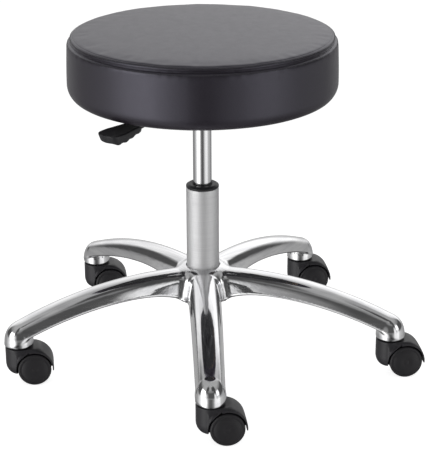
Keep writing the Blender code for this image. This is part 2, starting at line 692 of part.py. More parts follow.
def stem_outline():
    groove_low, groove_high, groove_radius = 0.070, 0.078, 0.0045
    collar_low, collar_high = HOOD_TOP + GAP, SOCKET_BOTTOM - GAP
    low, high, collar = 0.032, 0.084, 0.009
    return [
        (0, low), (STEM_PIVOT_RADIUS, low), (STEM_PIVOT_RADIUS, collar_low), (collar, collar_low),
        (collar, collar_high), (STEM_RADIUS, collar_high), (STEM_RADIUS, groove_low),
        (groove_radius, groove_low), (groove_radius, groove_high), (STEM_RADIUS, groove_high),
        (STEM_RADIUS, high - 0.001), (STEM_RADIUS - 0.001, high), (0, high),
    ]


def axle_mesh():
    return to_mesh("caster_axle", across(cylinder(AXLE_RADIUS, -0.0185, 0.0185, COARSE)))


# ---- assembly -----------------------------------------------------------------------------
def build_base(root, paint):
    place("base_casting", base_casting_mesh(), paint["polished_aluminium"], root)
    place("column_tube", column_tube_mesh(), paint["satin_chrome"], root)
    place("guide_bush", guide_bush_mesh(), paint["black_plastic"], root)
    outline = ring_outline(BEARING_BORE, BEARING_RADIUS, TUBE_BOTTOM + 0.0033, BALL_HEIGHT - 0.00245)
    race = turned("bearing_lower_race", outline, COARSE, ring=True)
    place("bearing_lower_race", race, paint["steel"], root)


def build_gas_rod(root, paint):
    rod_fit = ROD_RADIUS + GAP
    rod = make_empty("seat_swivel_axis", root)
    place("piston_rod", turned("piston_rod", piston_rod_outline(), COARSE), paint["bright_steel"], rod)
    piston = turned("piston", ring_outline(0.0033, PISTON_RADIUS, 0.2143, 0.2261), MEDIUM, ring=True)
    place("piston", piston, paint["black_rubber"], rod)
    outline = ring_outline(rod_fit, BEARING_RADIUS, BALL_HEIGHT + 0.00245, 0.0919)
    race = turned("bearing_upper_race", outline, COARSE, ring=True)
    place("bearing_upper_race", race, paint["steel"], rod)
    bumper = turned(
        "rubber_bumper",
        [(0.0044, 0.0943), (0.011, 0.0943), (0.0115, 0.0955), (0.0105, 0.106), (0.0044, 0.106)],
        COARSE, ring=True)
    place("rubber_bumper", bumper, paint["black_rubber"], rod)
    clip_outline = ring_outline(0.0035, 0.0085, 0.0771, 0.0784)
    clip = turned("retaining_clip", clip_outline, COARSE, sweep_deg=290, ring=True)
    place("retaining_clip", clip, paint["steel"], rod)
    cage = make_empty("bearing_axis", root)
    place("bearing_ball_cage", bearing_cage_mesh(), paint["bright_steel"], cage)
    return rod


def build_seat(rod, paint):
    seat = make_empty("seat_slide", rod)
    rod_fit = ROD_RADIUS + 0.00035
    tube = turned("pressure_tube", pressure_tube_outline(), MEDIUM, ring=True)
    place("pressure_tube", tube, paint["chrome"], seat)
    guide_outline = ring_outline(rod_fit, PISTON_RADIUS, LIFT_BOTTOM + 0.0005, 0.2139)
    guide = turned("rod_guide", guide_outline, MEDIUM, ring=True)
    place("rod_guide", guide, paint["black_plastic"], seat)
    valve = turned("valve_body", ring_outline(rod_fit, 0.0112, 0.3780, 0.4007), MEDIUM, ring=True)
    place("valve_body", valve, paint["brass"], seat)
    place("seat_cover", seat_cover_mesh(), paint["black_vinyl"], seat, (CUSHION_OFFSET_X, 0, 0))
    place("seat_foam", seat_foam_mesh(), paint["foam"], seat, (CUSHION_OFFSET_X, 0, 0))

    mechanism = make_empty("mechanism", seat, turn_deg=LEVER_DEG)
    place("seat_board", seat_board_mesh(), paint["plywood"], mechanism)
    place("dust_cover", dust_cover_mesh(), paint["black_fabric"], mechanism)
    place("seat_plate", seat_plate_mesh(), paint["black_paint"], mechanism)
    bolt, nut = bolt_mesh(), turned("tee_nut", tee_nut_outline(), COARSE, ring=True)
    for k, (x, y) in enumerate(bolt_places(), start=1):
        place(f"plate_bolt_{k}", bolt, paint["steel"], mechanism, (x, y, 0))
        place(f"tee_nut_{k}", nut, paint["steel"], mechanism, (x, y, 0))
    pivot = (LEVER_PIVOT_REACH, 0, LEVER_PIVOT_HEIGHT)
    place("lever_pivot_pin", pivot_pin_mesh(), paint["steel"], mechanism, pivot)
    return mechanism


def build_lever(mechanism, paint):
    pivot = (LEVER_PIVOT_REACH, 0, LEVER_PIVOT_HEIGHT)
    lever = make_empty("lever_pivot", mechanism, pivot)
    back = tuple(-value for value in pivot)
    place("lever_bar", lever_bar_mesh(), paint["black_paint"], lever, back)
    place("lever_paddle", lever_paddle_mesh(), paint["black_plastic"], lever, back)
    pin_outline = [(0, 0.383), (0.004, 0.383), (0.004, 0.4086), (0.0028, 0.4100), (0, 0.4100)]
    place("release_pin", turned("release_pin", pin_outline, COARSE), paint["bright_steel"], mechanism)


def build_casters(root, paint):
    hood, stem = hood_mesh(), turned("caster_stem", stem_outline(), COARSE)
    grip = turned("grip_ring", ring_outline(0.0048, 0.0056, 0.0704, 0.0776), COARSE, sweep_deg=300, ring=True)
    axle = axle_mesh()
    wheels = {"left": wheel_mesh(-1), "right": wheel_mesh(1)}
    for k, place_name in enumerate(("front", "right", "rear_right", "rear_left", "left")):
        angle = math.radians(FIRST_LEG_DEG + 360.0 * k / LEG_COUNT)
        stem_axis = (STEM_CIRCLE * math.cos(angle), STEM_CIRCLE * math.sin(angle), 0)
        caster = make_empty(f"caster_{place_name}", root, stem_axis, CASTER_HEADING_DEG)
        place(f"caster_{place_name}_stem", stem, paint["steel"], caster)
        place(f"caster_{place_name}_grip_ring", grip, paint["bright_steel"], caster)
        place(f"caster_{place_name}_hood", hood, paint["caster_nylon"], caster)
        axis = (WHEEL_TRAIL, 0, WHEEL_RADIUS)
        place(f"caster_{place_name}_axle", axle, paint["bright_steel"], caster, axis)
        for side, wheel in wheels.items():
            place(f"caster_{place_name}_wheel_{side}", wheel, paint["wheel_nylon"], caster, axis)


def main():
    clear_scene()
    paint = {
        "polished_aluminium": make_material("polished_aluminium", (0.86, 0.86, 0.87), 0.08, 1.0),
        "satin_chrome": make_material("satin_chrome", (0.74, 0.74, 0.75), 0.22, 1.0),
        "chrome": make_material("chrome", (0.82, 0.82, 0.83), 0.05, 1.0),
        "steel": make_material("steel", (0.55, 0.55, 0.56), 0.35, 1.0),
        "bright_steel": make_material("bright_steel", (0.70, 0.70, 0.71), 0.2, 1.0),
        "brass": make_material("brass", (0.75, 0.58, 0.28), 0.3, 1.0),
        "black_paint": make_material("black_paint", (0.02, 0.02, 0.022), 0.45),
        "black_plastic": make_material("black_plastic", (0.02, 0.02, 0.022), 0.5),
        "caster_nylon": make_material("caster_nylon", (0.035, 0.035, 0.038), 0.5),
        "wheel_nylon": make_material("wheel_nylon", (0.03, 0.029, 0.032), 0.55),
        "black_rubber": make_material("black_rubber", (0.015, 0.015, 0.015), 0.8),
        "black_vinyl": make_material("black_vinyl", (0.02, 0.02, 0.023), 0.42),
        "black_fabric": make_material("black_fabric", (0.012, 0.012, 0.012), 0.95),
        "foam": make_material("foam", (0.80, 0.74, 0.52), 0.9),
        "plywood": make_material("plywood", (0.62, 0.45, 0.28), 0.7),
    }
    root = make_empty("stool", location=(COLUMN_X, COLUMN_Y, 0))
    build_base(root, paint)
    rod = build_gas_rod(root, paint)
    mechanism = build_seat(rod, paint)
    build_lever(mechanism, paint)
    build_casters(root, paint)


main()
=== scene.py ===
"""Looks of the round gas-lift stool, round its CAD frame: casting, lift, casters, cushion and materials.

Lengths are in metres. Local shapes are made round the column, a caster's stem or the seat's middle, and then
put in place from the frame.
"""
import json
import math

import bpy
import numpy as np
from mathutils import Matrix, Vector


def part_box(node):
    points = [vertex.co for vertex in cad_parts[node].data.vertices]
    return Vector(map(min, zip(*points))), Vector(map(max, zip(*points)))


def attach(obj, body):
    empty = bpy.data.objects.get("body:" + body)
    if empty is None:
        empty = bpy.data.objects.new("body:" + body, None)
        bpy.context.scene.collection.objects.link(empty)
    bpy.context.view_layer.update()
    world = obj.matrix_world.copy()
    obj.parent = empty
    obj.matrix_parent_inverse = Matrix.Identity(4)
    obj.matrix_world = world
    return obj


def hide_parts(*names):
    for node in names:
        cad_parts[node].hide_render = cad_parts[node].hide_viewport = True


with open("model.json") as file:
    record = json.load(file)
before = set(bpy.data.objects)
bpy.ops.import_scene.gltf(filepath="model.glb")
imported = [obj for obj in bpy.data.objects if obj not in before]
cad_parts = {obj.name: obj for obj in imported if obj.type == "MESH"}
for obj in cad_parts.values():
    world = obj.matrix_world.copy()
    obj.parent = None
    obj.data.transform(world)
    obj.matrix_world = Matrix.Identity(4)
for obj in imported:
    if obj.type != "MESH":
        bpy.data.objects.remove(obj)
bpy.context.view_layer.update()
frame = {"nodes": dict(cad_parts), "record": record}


# ---- places read from the frame -----------------------------------------------------------
def middle(node):
    low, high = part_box(node)
    return (low + high) / 2


COLUMN = middle("column_tube")
COLUMN.z = 0.0
TUBE_LOW, TUBE_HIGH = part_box("column_tube")
TUBE_RADIUS = (TUBE_HIGH.x - TUBE_LOW.x) / 2
PLACES = ("front", "right", "rear_right", "rear_left", "left")
STEMS = {place: middle(f"caster_{place}_stem").xy.to_3d() for place in PLACES}
STEM_CIRCLE = (STEMS["front"] - COLUMN).length
FIRST_LEG = math.atan2(STEMS["front"].y - COLUMN.y, STEMS["front"].x - COLUMN.x)
AXLE = middle("caster_front_axle")
TRAIL = (AXLE.xy - STEMS["front"].xy).length
HEADING = math.atan2(AXLE.y - STEMS["front"].y, AXLE.x - STEMS["front"].x)
WHEEL_RADIUS = AXLE.z
HOOD_BOTTOM, HOOD_TOP = (corner.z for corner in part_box("caster_front_hood"))
SEAT_LOW, SEAT_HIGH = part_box("seat_cover")
SEAT_MIDDLE = middle("seat_cover").xy.to_3d()
SEAT_RADIUS = (SEAT_HIGH.x - SEAT_LOW.x) / 2
PADDLE = middle("lever_paddle")
LEVER_ANGLE = math.atan2(PADDLE.y - COLUMN.y, PADDLE.x - COLUMN.x)


# ---- mesh helpers -------------------------------------------------------------------------
def new_mesh(name, points, faces, sharp_deg=40.0):
    mesh = bpy.data.meshes.new(name)
    mesh.from_pydata([tuple(point) for point in points], [], faces)
    mesh.update()
    mesh.shade_smooth()
    mesh.set_sharp_from_angle(angle=math.radians(sharp_deg))
    return mesh


def add_object(name, data):
    thing = bpy.data.objects.new(name, data)
    bpy.context.collection.objects.link(thing)
    return thing


def add_piece(name, mesh, body, slot, replaced, location=(0, 0, 0), turn=0.0, pose=None, material=None):
    """Put one finished piece on its body, standing for its CAD nodes; a pose overrides location and turn."""
    piece = add_object(name, mesh)
    piece.location = location
    piece.rotation_euler.z = turn
    if pose:
        piece.matrix_world = pose
    if not mesh.materials:
        mesh.materials.append(MATERIALS[material or slot])
    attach(piece, body)
    if replaced:
        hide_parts(*replaced)
    return piece


def arc(centre, radii, start_deg, end_deg, steps):
    """Points of an elliptic arc, both ends included."""
    angles = np.radians(np.linspace(start_deg, end_deg, steps + 1))
    return [(centre[0] + radii[0] * math.cos(a), centre[1] + radii[1] * math.sin(a)) for a in angles]


def rounded(outline, radius, steps=4):
    """Round the corners of an open (radius, height) outline, each over at most 0.45 of its shorter side."""
    result = [outline[0]]
    for before, corner, after in zip(outline, outline[1:], outline[2:]):
        before, corner, after = Vector(before), Vector(corner), Vector(after)
        into, out = before - corner, after - corner
        reach = min(radius, into.length * 0.45, out.length * 0.45)
        start, end = corner + into.normalized() * reach, corner + out.normalized() * reach
        for i in range(steps + 1):
            share = i / steps
            point = start.lerp(corner, share).lerp(corner.lerp(end, share), share)
            result.append(tuple(point))
    return result + [outline[-1]]


def revolve(name, outline, steps, closed=False):
    """Turn a (radius, height) outline about Z; points on the axis become poles."""
    points, rings, faces = [], [], []
    for radius, height in outline:
        if radius < 1e-7:
            rings.append([len(points)] * steps)
            points.append((0, 0, height))
        else:
            rings.append(list(range(len(points), len(points) + steps)))
            for k in range(steps):
                angle = 2 * math.pi * k / steps
                points.append((radius * math.cos(angle), radius * math.sin(angle), height))
    pairs = list(zip(rings, rings[1:])) + ([(rings[-1], rings[0])] if closed else [])
    for low, high in pairs:
        for k in range(steps):
            j = (k + 1) % steps
            corners = [low[k], low[j], high[j], high[k]]
            face = [c for i, c in enumerate(corners) if c != corners[i - 1]]
            if len(face) > 2:
                faces.append(face)
    return new_mesh(name, points, faces)


def grid_faces(rows, columns, wrap=False):
    """Quads between rows of points, which close round on themselves if wrapped."""
    faces = []
    for i in range(rows - 1):
        for k in range(columns if wrap else columns - 1):
            j = (k + 1) % columns
            faces.append((i * columns + k, i * columns + j, (i + 1) * columns + j, (i + 1) * columns + k))
    return faces


# ---- smooth solids from fields ------------------------------------------------------------
# a field is a distance-like number, below zero inside the solid
SLOPE_STEP = 2e-5
RELAX_ROUNDS, ALL_ROUNDS = 7, 9
LONGEST_MOVE = 0.002
FLATTEST_SLOPE = 0.05


def smooth_max(a, b, k):
    """The larger of two fields, with their meeting edge rounded over about k."""
    share = np.clip(0.5 + 0.5 * (a - b) / k, 0.0, 1.0)
    return b + (a - b) * share + k * share * (1.0 - share)


def smooth_min(a, b, k):
    return -smooth_max(-a, -b, k)


def gradient(field, points):
    slopes = [(field(points + offset) - field(points - offset)) / (2 * SLOPE_STEP)
              for offset in np.eye(3) * SLOPE_STEP]
    return np.stack(slopes, axis=1)


def skin(name, node, to_local, field, voxel, reshape=None):
    """Remesh a copy of a CAD node evenly, slide its points onto field = 0, and shade it by its normals."""
    work = add_object("work", frame["nodes"][node].data.copy())
    remesh = work.modifiers.new("remesh", "REMESH")
    remesh.mode = "VOXEL"
    remesh.voxel_size = voxel
    evaluated = work.evaluated_get(bpy.context.evaluated_depsgraph_get())
    mesh = bpy.data.meshes.new_from_object(evaluated)
    bpy.data.objects.remove(work, do_unlink=True)
    mesh.name = name
    mesh.transform(to_local)
    count = len(mesh.vertices)
    points = np.empty(count * 3)
    mesh.vertices.foreach_get("co", points)
    points = points.reshape(-1, 3)
    if reshape:
        points = reshape(points)
    edges = np.empty(len(mesh.edges) * 2, dtype=np.int64)
    mesh.edges.foreach_get("vertices", edges)
    edges = edges.reshape(-1, 2)
    links = np.bincount(edges.ravel(), minlength=count)[:, None]
    for round_number in range(ALL_ROUNDS):
        if round_number < RELAX_ROUNDS:
            total = np.zeros_like(points)
            np.add.at(total, edges[:, 0], points[edges[:, 1]])
            np.add.at(total, edges[:, 1], points[edges[:, 0]])
            points = points + 0.5 * (total / links - points)
        slope = gradient(field, points)
        length_2 = np.maximum((slope ** 2).sum(axis=1), FLATTEST_SLOPE)
        move = -(field(points) / length_2)[:, None] * slope
        size = np.linalg.norm(move, axis=1, keepdims=True)
        points = points + move * np.minimum(1.0, LONGEST_MOVE / np.maximum(size, 1e-9))
    mesh.vertices.foreach_set("co", points.ravel())
    mesh.materials.clear()
    mesh.update()
    mesh.shade_smooth()
    normals = gradient(field, points)
    normals /= np.maximum(np.linalg.norm(normals, axis=1, keepdims=True), 1e-9)
    mesh.normals_split_custom_set_from_vertices([tuple(normal) for normal in normals])
    return mesh


# ---- materials ----------------------------------------------------------------------------
class Nodes:
    """Short names for building one node material."""

    def __init__(self, name, colour, roughness, metallic=0.0, **sockets):
        self.material = bpy.data.materials.new(name)
        self.material.use_nodes = True
        self.tree = self.material.node_tree
        self.shader = self.tree.nodes["Principled BSDF"]
        self.material.diffuse_color = (*colour, 1.0)
        self.shader.inputs["Base Color"].default_value = (*colour, 1.0)
        self.shader.inputs["Roughness"].default_value = roughness
        self.shader.inputs["Metallic"].default_value = metallic
        for socket, value in sockets.items():
            self.shader.inputs[socket.replace("_", " ")].default_value = value
        self.place = self.add("ShaderNodeTexCoord").outputs["Object"]

    def add(self, kind, **inputs):
        node = self.tree.nodes.new(kind)
        for socket, value in inputs.items():
            self.feed(node.inputs[socket.replace("_", " ")], value)
        return node

    def feed(self, socket, value):
        if isinstance(value, bpy.types.NodeSocket):
            self.tree.links.new(value, socket)
        else:
            socket.default_value = value

    def stretched(self, scale):
        return self.add("ShaderNodeMapping", Vector=self.place, Scale=scale).outputs["Vector"]

    def noise(self, scale, detail=2.0, vector=None, distortion=0.0):
        node = self.add("ShaderNodeTexNoise", Vector=vector or self.place, Scale=scale, Detail=detail,
                        Distortion=distortion)
        return node.outputs["Fac"]

    def cells(self, scale):
        """Distance to the nearest edge between cells."""
        node = self.add("ShaderNodeTexVoronoi", Vector=self.place, Scale=scale)
        node.feature = "DISTANCE_TO_EDGE"
        return node.outputs["Distance"]

    def spread(self, value, low, high, to_low, to_high):
        """Map low..high onto to_low..to_high, clamped."""
        node = self.add("ShaderNodeMapRange", Value=value, From_Min=low, From_Max=high, To_Min=to_low,
                        To_Max=to_high)
        return node.outputs["Result"]

    def blend(self, factor, first, second):
        node = self.tree.nodes.new("ShaderNodeMix")
        node.data_type = "RGBA"
        self.feed(node.inputs["Factor"], factor)
        self.feed(node.inputs[6], (*first, 1.0) if isinstance(first, tuple) else first)
        self.feed(node.inputs[7], (*second, 1.0) if isinstance(second, tuple) else second)
        return node.outputs[2]

    def math(self, operation, first, second=0.0):
        node = self.tree.nodes.new("ShaderNodeMath")
        node.operation = operation
        self.feed(node.inputs[0], first)
        self.feed(node.inputs[1], second)
        return node.outputs[0]

    def bump(self, height, distance, strength, normal=None):
        node = self.add("ShaderNodeBump", Height=height, Distance=distance, Strength=strength)
        if normal is not None:
            self.feed(node.inputs["Normal"], normal)
        self.feed(self.shader.inputs["Normal"], node.outputs["Normal"])
        return node.outputs["Normal"]

    def set(self, socket, value):
        self.feed(self.shader.inputs[socket], value)


def painted_edge_highlight(nodes, strength):
    """Painted highlight: lighter where the surface is convex, from Pointiness."""
    pointy = nodes.add("ShaderNodeNewGeometry").outputs["Pointiness"]
    return nodes.spread(pointy, 0.52, 0.60, 0.0, strength)


def polished_aluminium():
    nodes = Nodes("polished_aluminium", (0.84, 0.84, 0.85), 0.08, 1.0)
    split = nodes.add("ShaderNodeSeparateXYZ", Vector=nodes.place)
    across, along, up = split.outputs
    squares = nodes.math("ADD", nodes.math("POWER", across, 2.0), nodes.math("POWER", along, 2.0))
    reach = nodes.math("MULTIPLY", nodes.math("SQRT", squares), 0.05)
    bearing = nodes.math("MULTIPLY", nodes.math("ARCTAN2", along, across), 0.16)
    lengthwise = nodes.add("ShaderNodeCombineXYZ", X=bearing, Y=reach, Z=up).outputs[0]
    polish_lines = nodes.noise(420.0, 3.0, lengthwise)
    broad_lines = nodes.noise(110.0, 2.0, lengthwise)
    haze = nodes.noise(14.0, 3.0)
    nodes.set("Roughness", nodes.math("ADD", nodes.spread(haze, 0.3, 0.7, 0.06, 0.11),
                                      nodes.spread(polish_lines, 0.5, 0.8, 0.0, 0.05)))
    nodes.set("Base Color", nodes.blend(nodes.spread(broad_lines, 0.35, 0.65, 0.0, 1.0), (0.76, 0.76, 0.775),
                                        (0.88, 0.88, 0.885)))
    first = nodes.bump(broad_lines, 0.0010, 0.16)
    nodes.bump(polish_lines, 0.00012, 0.20, first)
    return nodes.material


def chrome(name, roughness, tint, brushed):
    nodes = Nodes(name, tint, roughness, 1.0, Specular_Tint=(0.35, 0.35, 0.36, 1.0))
    rings = nodes.noise(400.0, 2.0, nodes.stretched((0.05, 0.05, 6.0)))
    nodes.set("Roughness", nodes.spread(rings, 0.3, 0.7, roughness * 0.8, roughness * 1.25))
    nodes.bump(rings, 0.00002, brushed)
    return nodes.material


def vinyl():
    nodes = Nodes("black_vinyl", (0.0125, 0.0100, 0.0135), 0.34, 0.0, IOR=1.75,
                  Specular_Tint=(0.86, 0.84, 1.0, 1.0))
    warped = nodes.noise(90.0, 2.0)
    pebbles = nodes.cells(520.0)
    creases = nodes.cells(160.0)
    grain = nodes.math("ADD", nodes.spread(pebbles, 0.0, 0.35, 0.0, 1.0),
                       nodes.spread(creases, 0.0, 0.12, -0.6, 0.0))
    nodes.bump(grain, 0.00010, 0.25)
    nodes.set("Roughness", nodes.math("ADD", nodes.spread(warped, 0.3, 0.7, 0.32, 0.35),
                                      nodes.spread(pebbles, 0.0, 0.3, 0.04, 0.0)))
    shade = nodes.blend(nodes.noise(7.0, 3.0), (0.0110, 0.0086, 0.0120), (0.0135, 0.0105, 0.0145))
    # convex edges of the vinyl painted lighter: a painted highlight
    nodes.set("Base Color", nodes.blend(painted_edge_highlight(nodes, 0.5), shade, (0.030, 0.029, 0.031)))
    return nodes.material


def moulded_plastic(name, colour, roughness, grain_scale=1400.0):
    nodes = Nodes(name, colour, roughness, 0.0, IOR=1.5)
    grain = nodes.noise(grain_scale, 1.0)
    cloud = nodes.noise(25.0, 3.0)
    # lighter is the colour of a painted highlight on the plastic's convex edges
    lighter = tuple(min(1.0, 1.6 * c + 0.004) for c in colour)
    clouded = nodes.blend(cloud, colour, tuple(c * 1.2 for c in colour))
    nodes.set("Base Color", nodes.blend(painted_edge_highlight(nodes, 0.7), clouded, lighter))
    nodes.set("Roughness", nodes.spread(cloud, 0.3, 0.7, roughness - 0.05, roughness + 0.07))
    nodes.bump(grain, 0.00005, 0.5)
    return nodes.material


def rubber():
    nodes = Nodes("black_rubber", (0.014, 0.014, 0.014), 0.75)
    nodes.set("Roughness", nodes.spread(nodes.noise(200.0, 3.0), 0.3, 0.7, 0.65, 0.85))
    nodes.bump(nodes.noise(1500.0, 2.0), 0.00006, 0.5)
    return nodes.material


def machined_steel(name, colour, roughness):
    nodes = Nodes(name, colour, roughness, 1.0)
    lines = nodes.noise(700.0, 2.0, nodes.stretched((1.0, 1.0, 12.0)))
    nodes.set("Roughness", nodes.spread(lines, 0.3, 0.7, roughness * 0.75, roughness * 1.3))
    nodes.set("Base Color", nodes.blend(nodes.noise(40.0, 3.0), tuple(c * 0.85 for c in colour), colour))
    nodes.bump(lines, 0.00003, 0.4)
    return nodes.material


def painted_metal():
    nodes = Nodes("black_paint", (0.018, 0.018, 0.020), 0.42)
    peel = nodes.noise(450.0, 2.0)
    nodes.set("Roughness", nodes.spread(nodes.noise(30.0, 3.0), 0.3, 0.7, 0.36, 0.50))
    # convex edges of the paint painted lighter: a painted highlight
    nodes.set("Base Color", nodes.blend(painted_edge_highlight(nodes, 0.6), (0.018, 0.018, 0.020), (0.075, 0.075, 0.078)))
    nodes.bump(peel, 0.00008, 0.4)
    return nodes.material


def woven_fabric():
    nodes = Nodes("black_fabric", (0.014, 0.014, 0.015), 0.92, 0.0, Sheen_Weight=0.25, Sheen_Roughness=0.5)
    fibres = nodes.noise(900.0, 4.0, nodes.stretched((1.0, 0.35, 1.0)), 1.5)
    dimples = nodes.cells(700.0)
    nodes.set("Base Color", nodes.blend(fibres, (0.009, 0.009, 0.010), (0.024, 0.024, 0.026)))
    nodes.bump(nodes.math("ADD", fibres, nodes.spread(dimples, 0.0, 0.3, 0.0, 1.0)), 0.00015, 0.7)
    return nodes.material


def foam():
    nodes = Nodes("foam", (0.80, 0.74, 0.52), 0.95, 0.0, Sheen_Weight=0.1)
    pores = nodes.cells(900.0)
    nodes.set("Base Color", nodes.blend(nodes.spread(pores, 0.0, 0.25, 0.0, 1.0), (0.55, 0.48, 0.30),
                                        (0.84, 0.78, 0.56)))
    nodes.bump(pores, 0.0004, 0.8)
    return nodes.material


def plywood():
    nodes = Nodes("plywood", (0.62, 0.45, 0.28), 0.68)
    lengthwise = nodes.stretched((9.0, 60.0, 9.0))
    rings = nodes.add("ShaderNodeTexWave", Vector=lengthwise, Scale=1.0, Distortion=5.0, Detail=4.0)
    plies = nodes.add("ShaderNodeTexWave", Vector=nodes.place, Scale=105.0)
    plies.bands_direction = "Z"
    grain = nodes.blend(rings.outputs["Fac"], (0.50, 0.34, 0.19), (0.70, 0.53, 0.34))
    nodes.set("Base Color", nodes.blend(nodes.spread(plies.outputs["Fac"], 0.45, 0.55, 0.0, 0.35), grain,
                                        (0.36, 0.22, 0.12)))
    nodes.bump(rings.outputs["Fac"], 0.0001, 0.4)
    return nodes.material


def thread():
    nodes = Nodes("thread", (0.016, 0.016, 0.018), 0.55, 0.0, Sheen_Weight=0.3)
    twist = nodes.add("ShaderNodeTexWave", Vector=nodes.place, Scale=900.0, Distortion=1.0)
    nodes.set("Base Color", nodes.blend(twist.outputs["Fac"], (0.010, 0.010, 0.012), (0.030, 0.030, 0.033)))
    nodes.bump(twist.outputs["Fac"], 0.00008, 0.6)
    return nodes.material


MATERIALS = {
    "polished_aluminium": polished_aluminium(),
    "satin_chrome": chrome("satin_chrome", 0.60, (0.84, 0.84, 0.845), 0.35),
    "chrome": chrome("chrome", 0.16, (0.82, 0.82, 0.83), 0.08),
    "steel": machined_steel("steel", (0.55, 0.55, 0.56), 0.34),
    "bright_steel": machined_steel("bright_steel", (0.72, 0.72, 0.73), 0.20),
    "brass": machined_steel("brass", (0.75, 0.58, 0.28), 0.28),
    "black_paint": painted_metal(),
    "black_plastic": moulded_plastic("black_plastic", (0.014, 0.014, 0.016), 0.46),
    "caster_nylon": moulded_plastic("caster_nylon", (0.016, 0.015, 0.018), 0.40),
    "wheel_nylon": moulded_plastic("wheel_nylon", (0.011, 0.010, 0.012), 0.50, 1000.0),
    "black_rubber": rubber(),
    "black_vinyl": vinyl(),
    "black_fabric": woven_fabric(),
    "foam": foam(),
    "plywood": plywood(),
    "thread": thread(),
}


def dress_cad_nodes():
    """Give every carried-over CAD node its detailed material, by its slot in the record."""
    slots = {part["node"]: part["material_slot"] for part in frame["record"]["subparts"]}
    for node, obj in frame["nodes"].items():
        obj.data.materials.clear()
        obj.data.materials.append(MATERIALS[slots[node]])


# ---- five-star base -----------------------------------------------------------------------
# each leg's ridge is level as far as RIDGE_START, and then an arc; its crown falls away by a square and a
# fourth power of the share of the half width; sharp-edged fields meet in the blends given here
RIDGE_TOP, RIDGE_START, RIDGE_ARC = 0.1444, 0.060, 0.590
LEG_DEPTH, ROOT_DEPTH, ROOT_REACH, DEPTH_FADE = 0.0265, 0.040, 0.048, 0.035
HALF_ROOT, HALF_TIP = 0.0275, 0.0223
CROWN_SQUARE, CROWN_QUARTIC = 0.36, 0.10
WALL_LEAN, WALL_START = 0.2, 0.44
SHOULDER_BLEND, LEG_FOOT_BLEND = 0.007, 0.005
LEG_WALL, CHANNEL_START, CHANNEL_END = 0.004, 0.0518, 0.266
RIBS, RIB_HALF = (0.125, 0.200), 0.0018
CAD_RIDGE_TOP, CAD_LEG_DEPTH, CAD_CROWN_SQUARE, CAD_CROWN_QUARTIC = 0.147, 0.025, 0.425, 0.39
STRETCH_FROM, STRETCH_FADE = 0.045, 0.025
HUB_RADIUS, HUB_DRAFT, HUB_SHOULDER = 0.036, 0.05, 0.010
HUB_BOTTOM, HUB_TOP, HUB_FOOT_BLEND = 0.092, 0.1455, 0.003
SOCKET_RADIUS = 0.0219
SOCKET_BOTTOM, SOCKET_WAIST, SOCKET_TOP, SOCKET_FOOT_BLEND = 0.060, 0.066, 0.0940, 0.0022
LEG_TO_LEG, LEG_TO_HUB, LEG_TO_SOCKET, CHANNEL_EDGE, BORE_EDGE = 0.018, 0.006, 0.003, 0.0015, 0.0010
STEM_BORE, STEM_BORE_TOP, TUBE_GAP = 0.0059, 0.085, 0.0004


def leg_ridge(reach):
    run = np.clip(reach - RIDGE_START, 0.0, 0.4)
    return RIDGE_TOP - (RIDGE_ARC - np.sqrt(RIDGE_ARC ** 2 - run ** 2))


def leg_half(reach):
    return HALF_ROOT + (HALF_TIP - HALF_ROOT) * np.minimum(reach / STEM_CIRCLE, 1.0)


def leg_depth(reach, plain):
    return plain + (ROOT_DEPTH - plain) * np.exp(-np.clip(reach - ROOT_REACH, 0.0, None) / DEPTH_FADE)


def leg_fields(reach, side, z):
    """Leg's rounded solid, and the channel that is hollowed out of it from below."""
    side = np.where(reach > STEM_CIRCLE, np.hypot(reach - STEM_CIRCLE, side), np.abs(side))
    ridge, half, depth = leg_ridge(reach), leg_half(reach), leg_depth(reach, LEG_DEPTH)
    share = side / half
    drop = half * (CROWN_SQUARE * share ** 2 + CROWN_QUARTIC * share ** 4)
    slope = 2.0 * CROWN_SQUARE * share + 4.0 * CROWN_QUARTIC * share ** 3
    top = (z - ridge + drop) / np.sqrt(1.0 + slope ** 2)
    lean = WALL_LEAN * half / (depth - WALL_START * half)
    wall = (side - half + lean * (z - ridge + depth)) / np.sqrt(1.0 + lean ** 2)
    solid = smooth_max(smooth_max(top, wall, SHOULDER_BLEND), ridge - depth - z, LEG_FOOT_BLEND)
    channel = np.maximum(top + LEG_WALL, wall + LEG_WALL)
    channel = np.maximum(channel, np.maximum(CHANNEL_START - reach, reach - CHANNEL_END))
    for rib in RIBS:
        channel = np.maximum(channel, RIB_HALF - np.abs(reach - rib))
    return solid, channel


def along_leg(x, y):
    """Distance along the nearest leg and off its middle, and the same for the next leg."""
    radius = np.hypot(x, y)
    fifth = 2 * math.pi / 5
    fold = np.abs(np.mod(np.arctan2(y, x) - FIRST_LEG + fifth / 2, fifth) - fifth / 2)
    return (radius * np.cos(fold), radius * np.sin(fold),
            radius * np.cos(fifth - fold), radius * np.sin(fifth - fold))


def from_cad_crown(points):
    """Stretch the CAD legs' heights to this crown, so that both faces of the thin wall start in place."""
    x, y, z = points.T
    reach, side, _, _ = along_leg(x, y)
    half = leg_half(reach)
    share = np.minimum(side / half, 1.0)
    fall = leg_ridge(reach) - RIDGE_TOP
    cad_low = CAD_RIDGE_TOP + fall - leg_depth(reach, CAD_LEG_DEPTH)
    cad_top = CAD_RIDGE_TOP + fall - half * (CAD_CROWN_SQUARE * share ** 2 + CAD_CROWN_QUARTIC * share ** 4)
    new_low = RIDGE_TOP + fall - leg_depth(reach, LEG_DEPTH)
    new_top = RIDGE_TOP + fall - half * (CROWN_SQUARE * share ** 2 + CROWN_QUARTIC * share ** 4)
    stretch = (new_top - new_low) / (cad_top - cad_low)
    moved = np.where(z > cad_low, new_low + (z - cad_low) * stretch, z + (new_low - cad_low))
    weight = np.clip((np.hypot(x, y) - STRETCH_FROM) / STRETCH_FADE, 0.0, 1.0)
    return np.stack([x, y, z + (moved - z) * weight], axis=1)


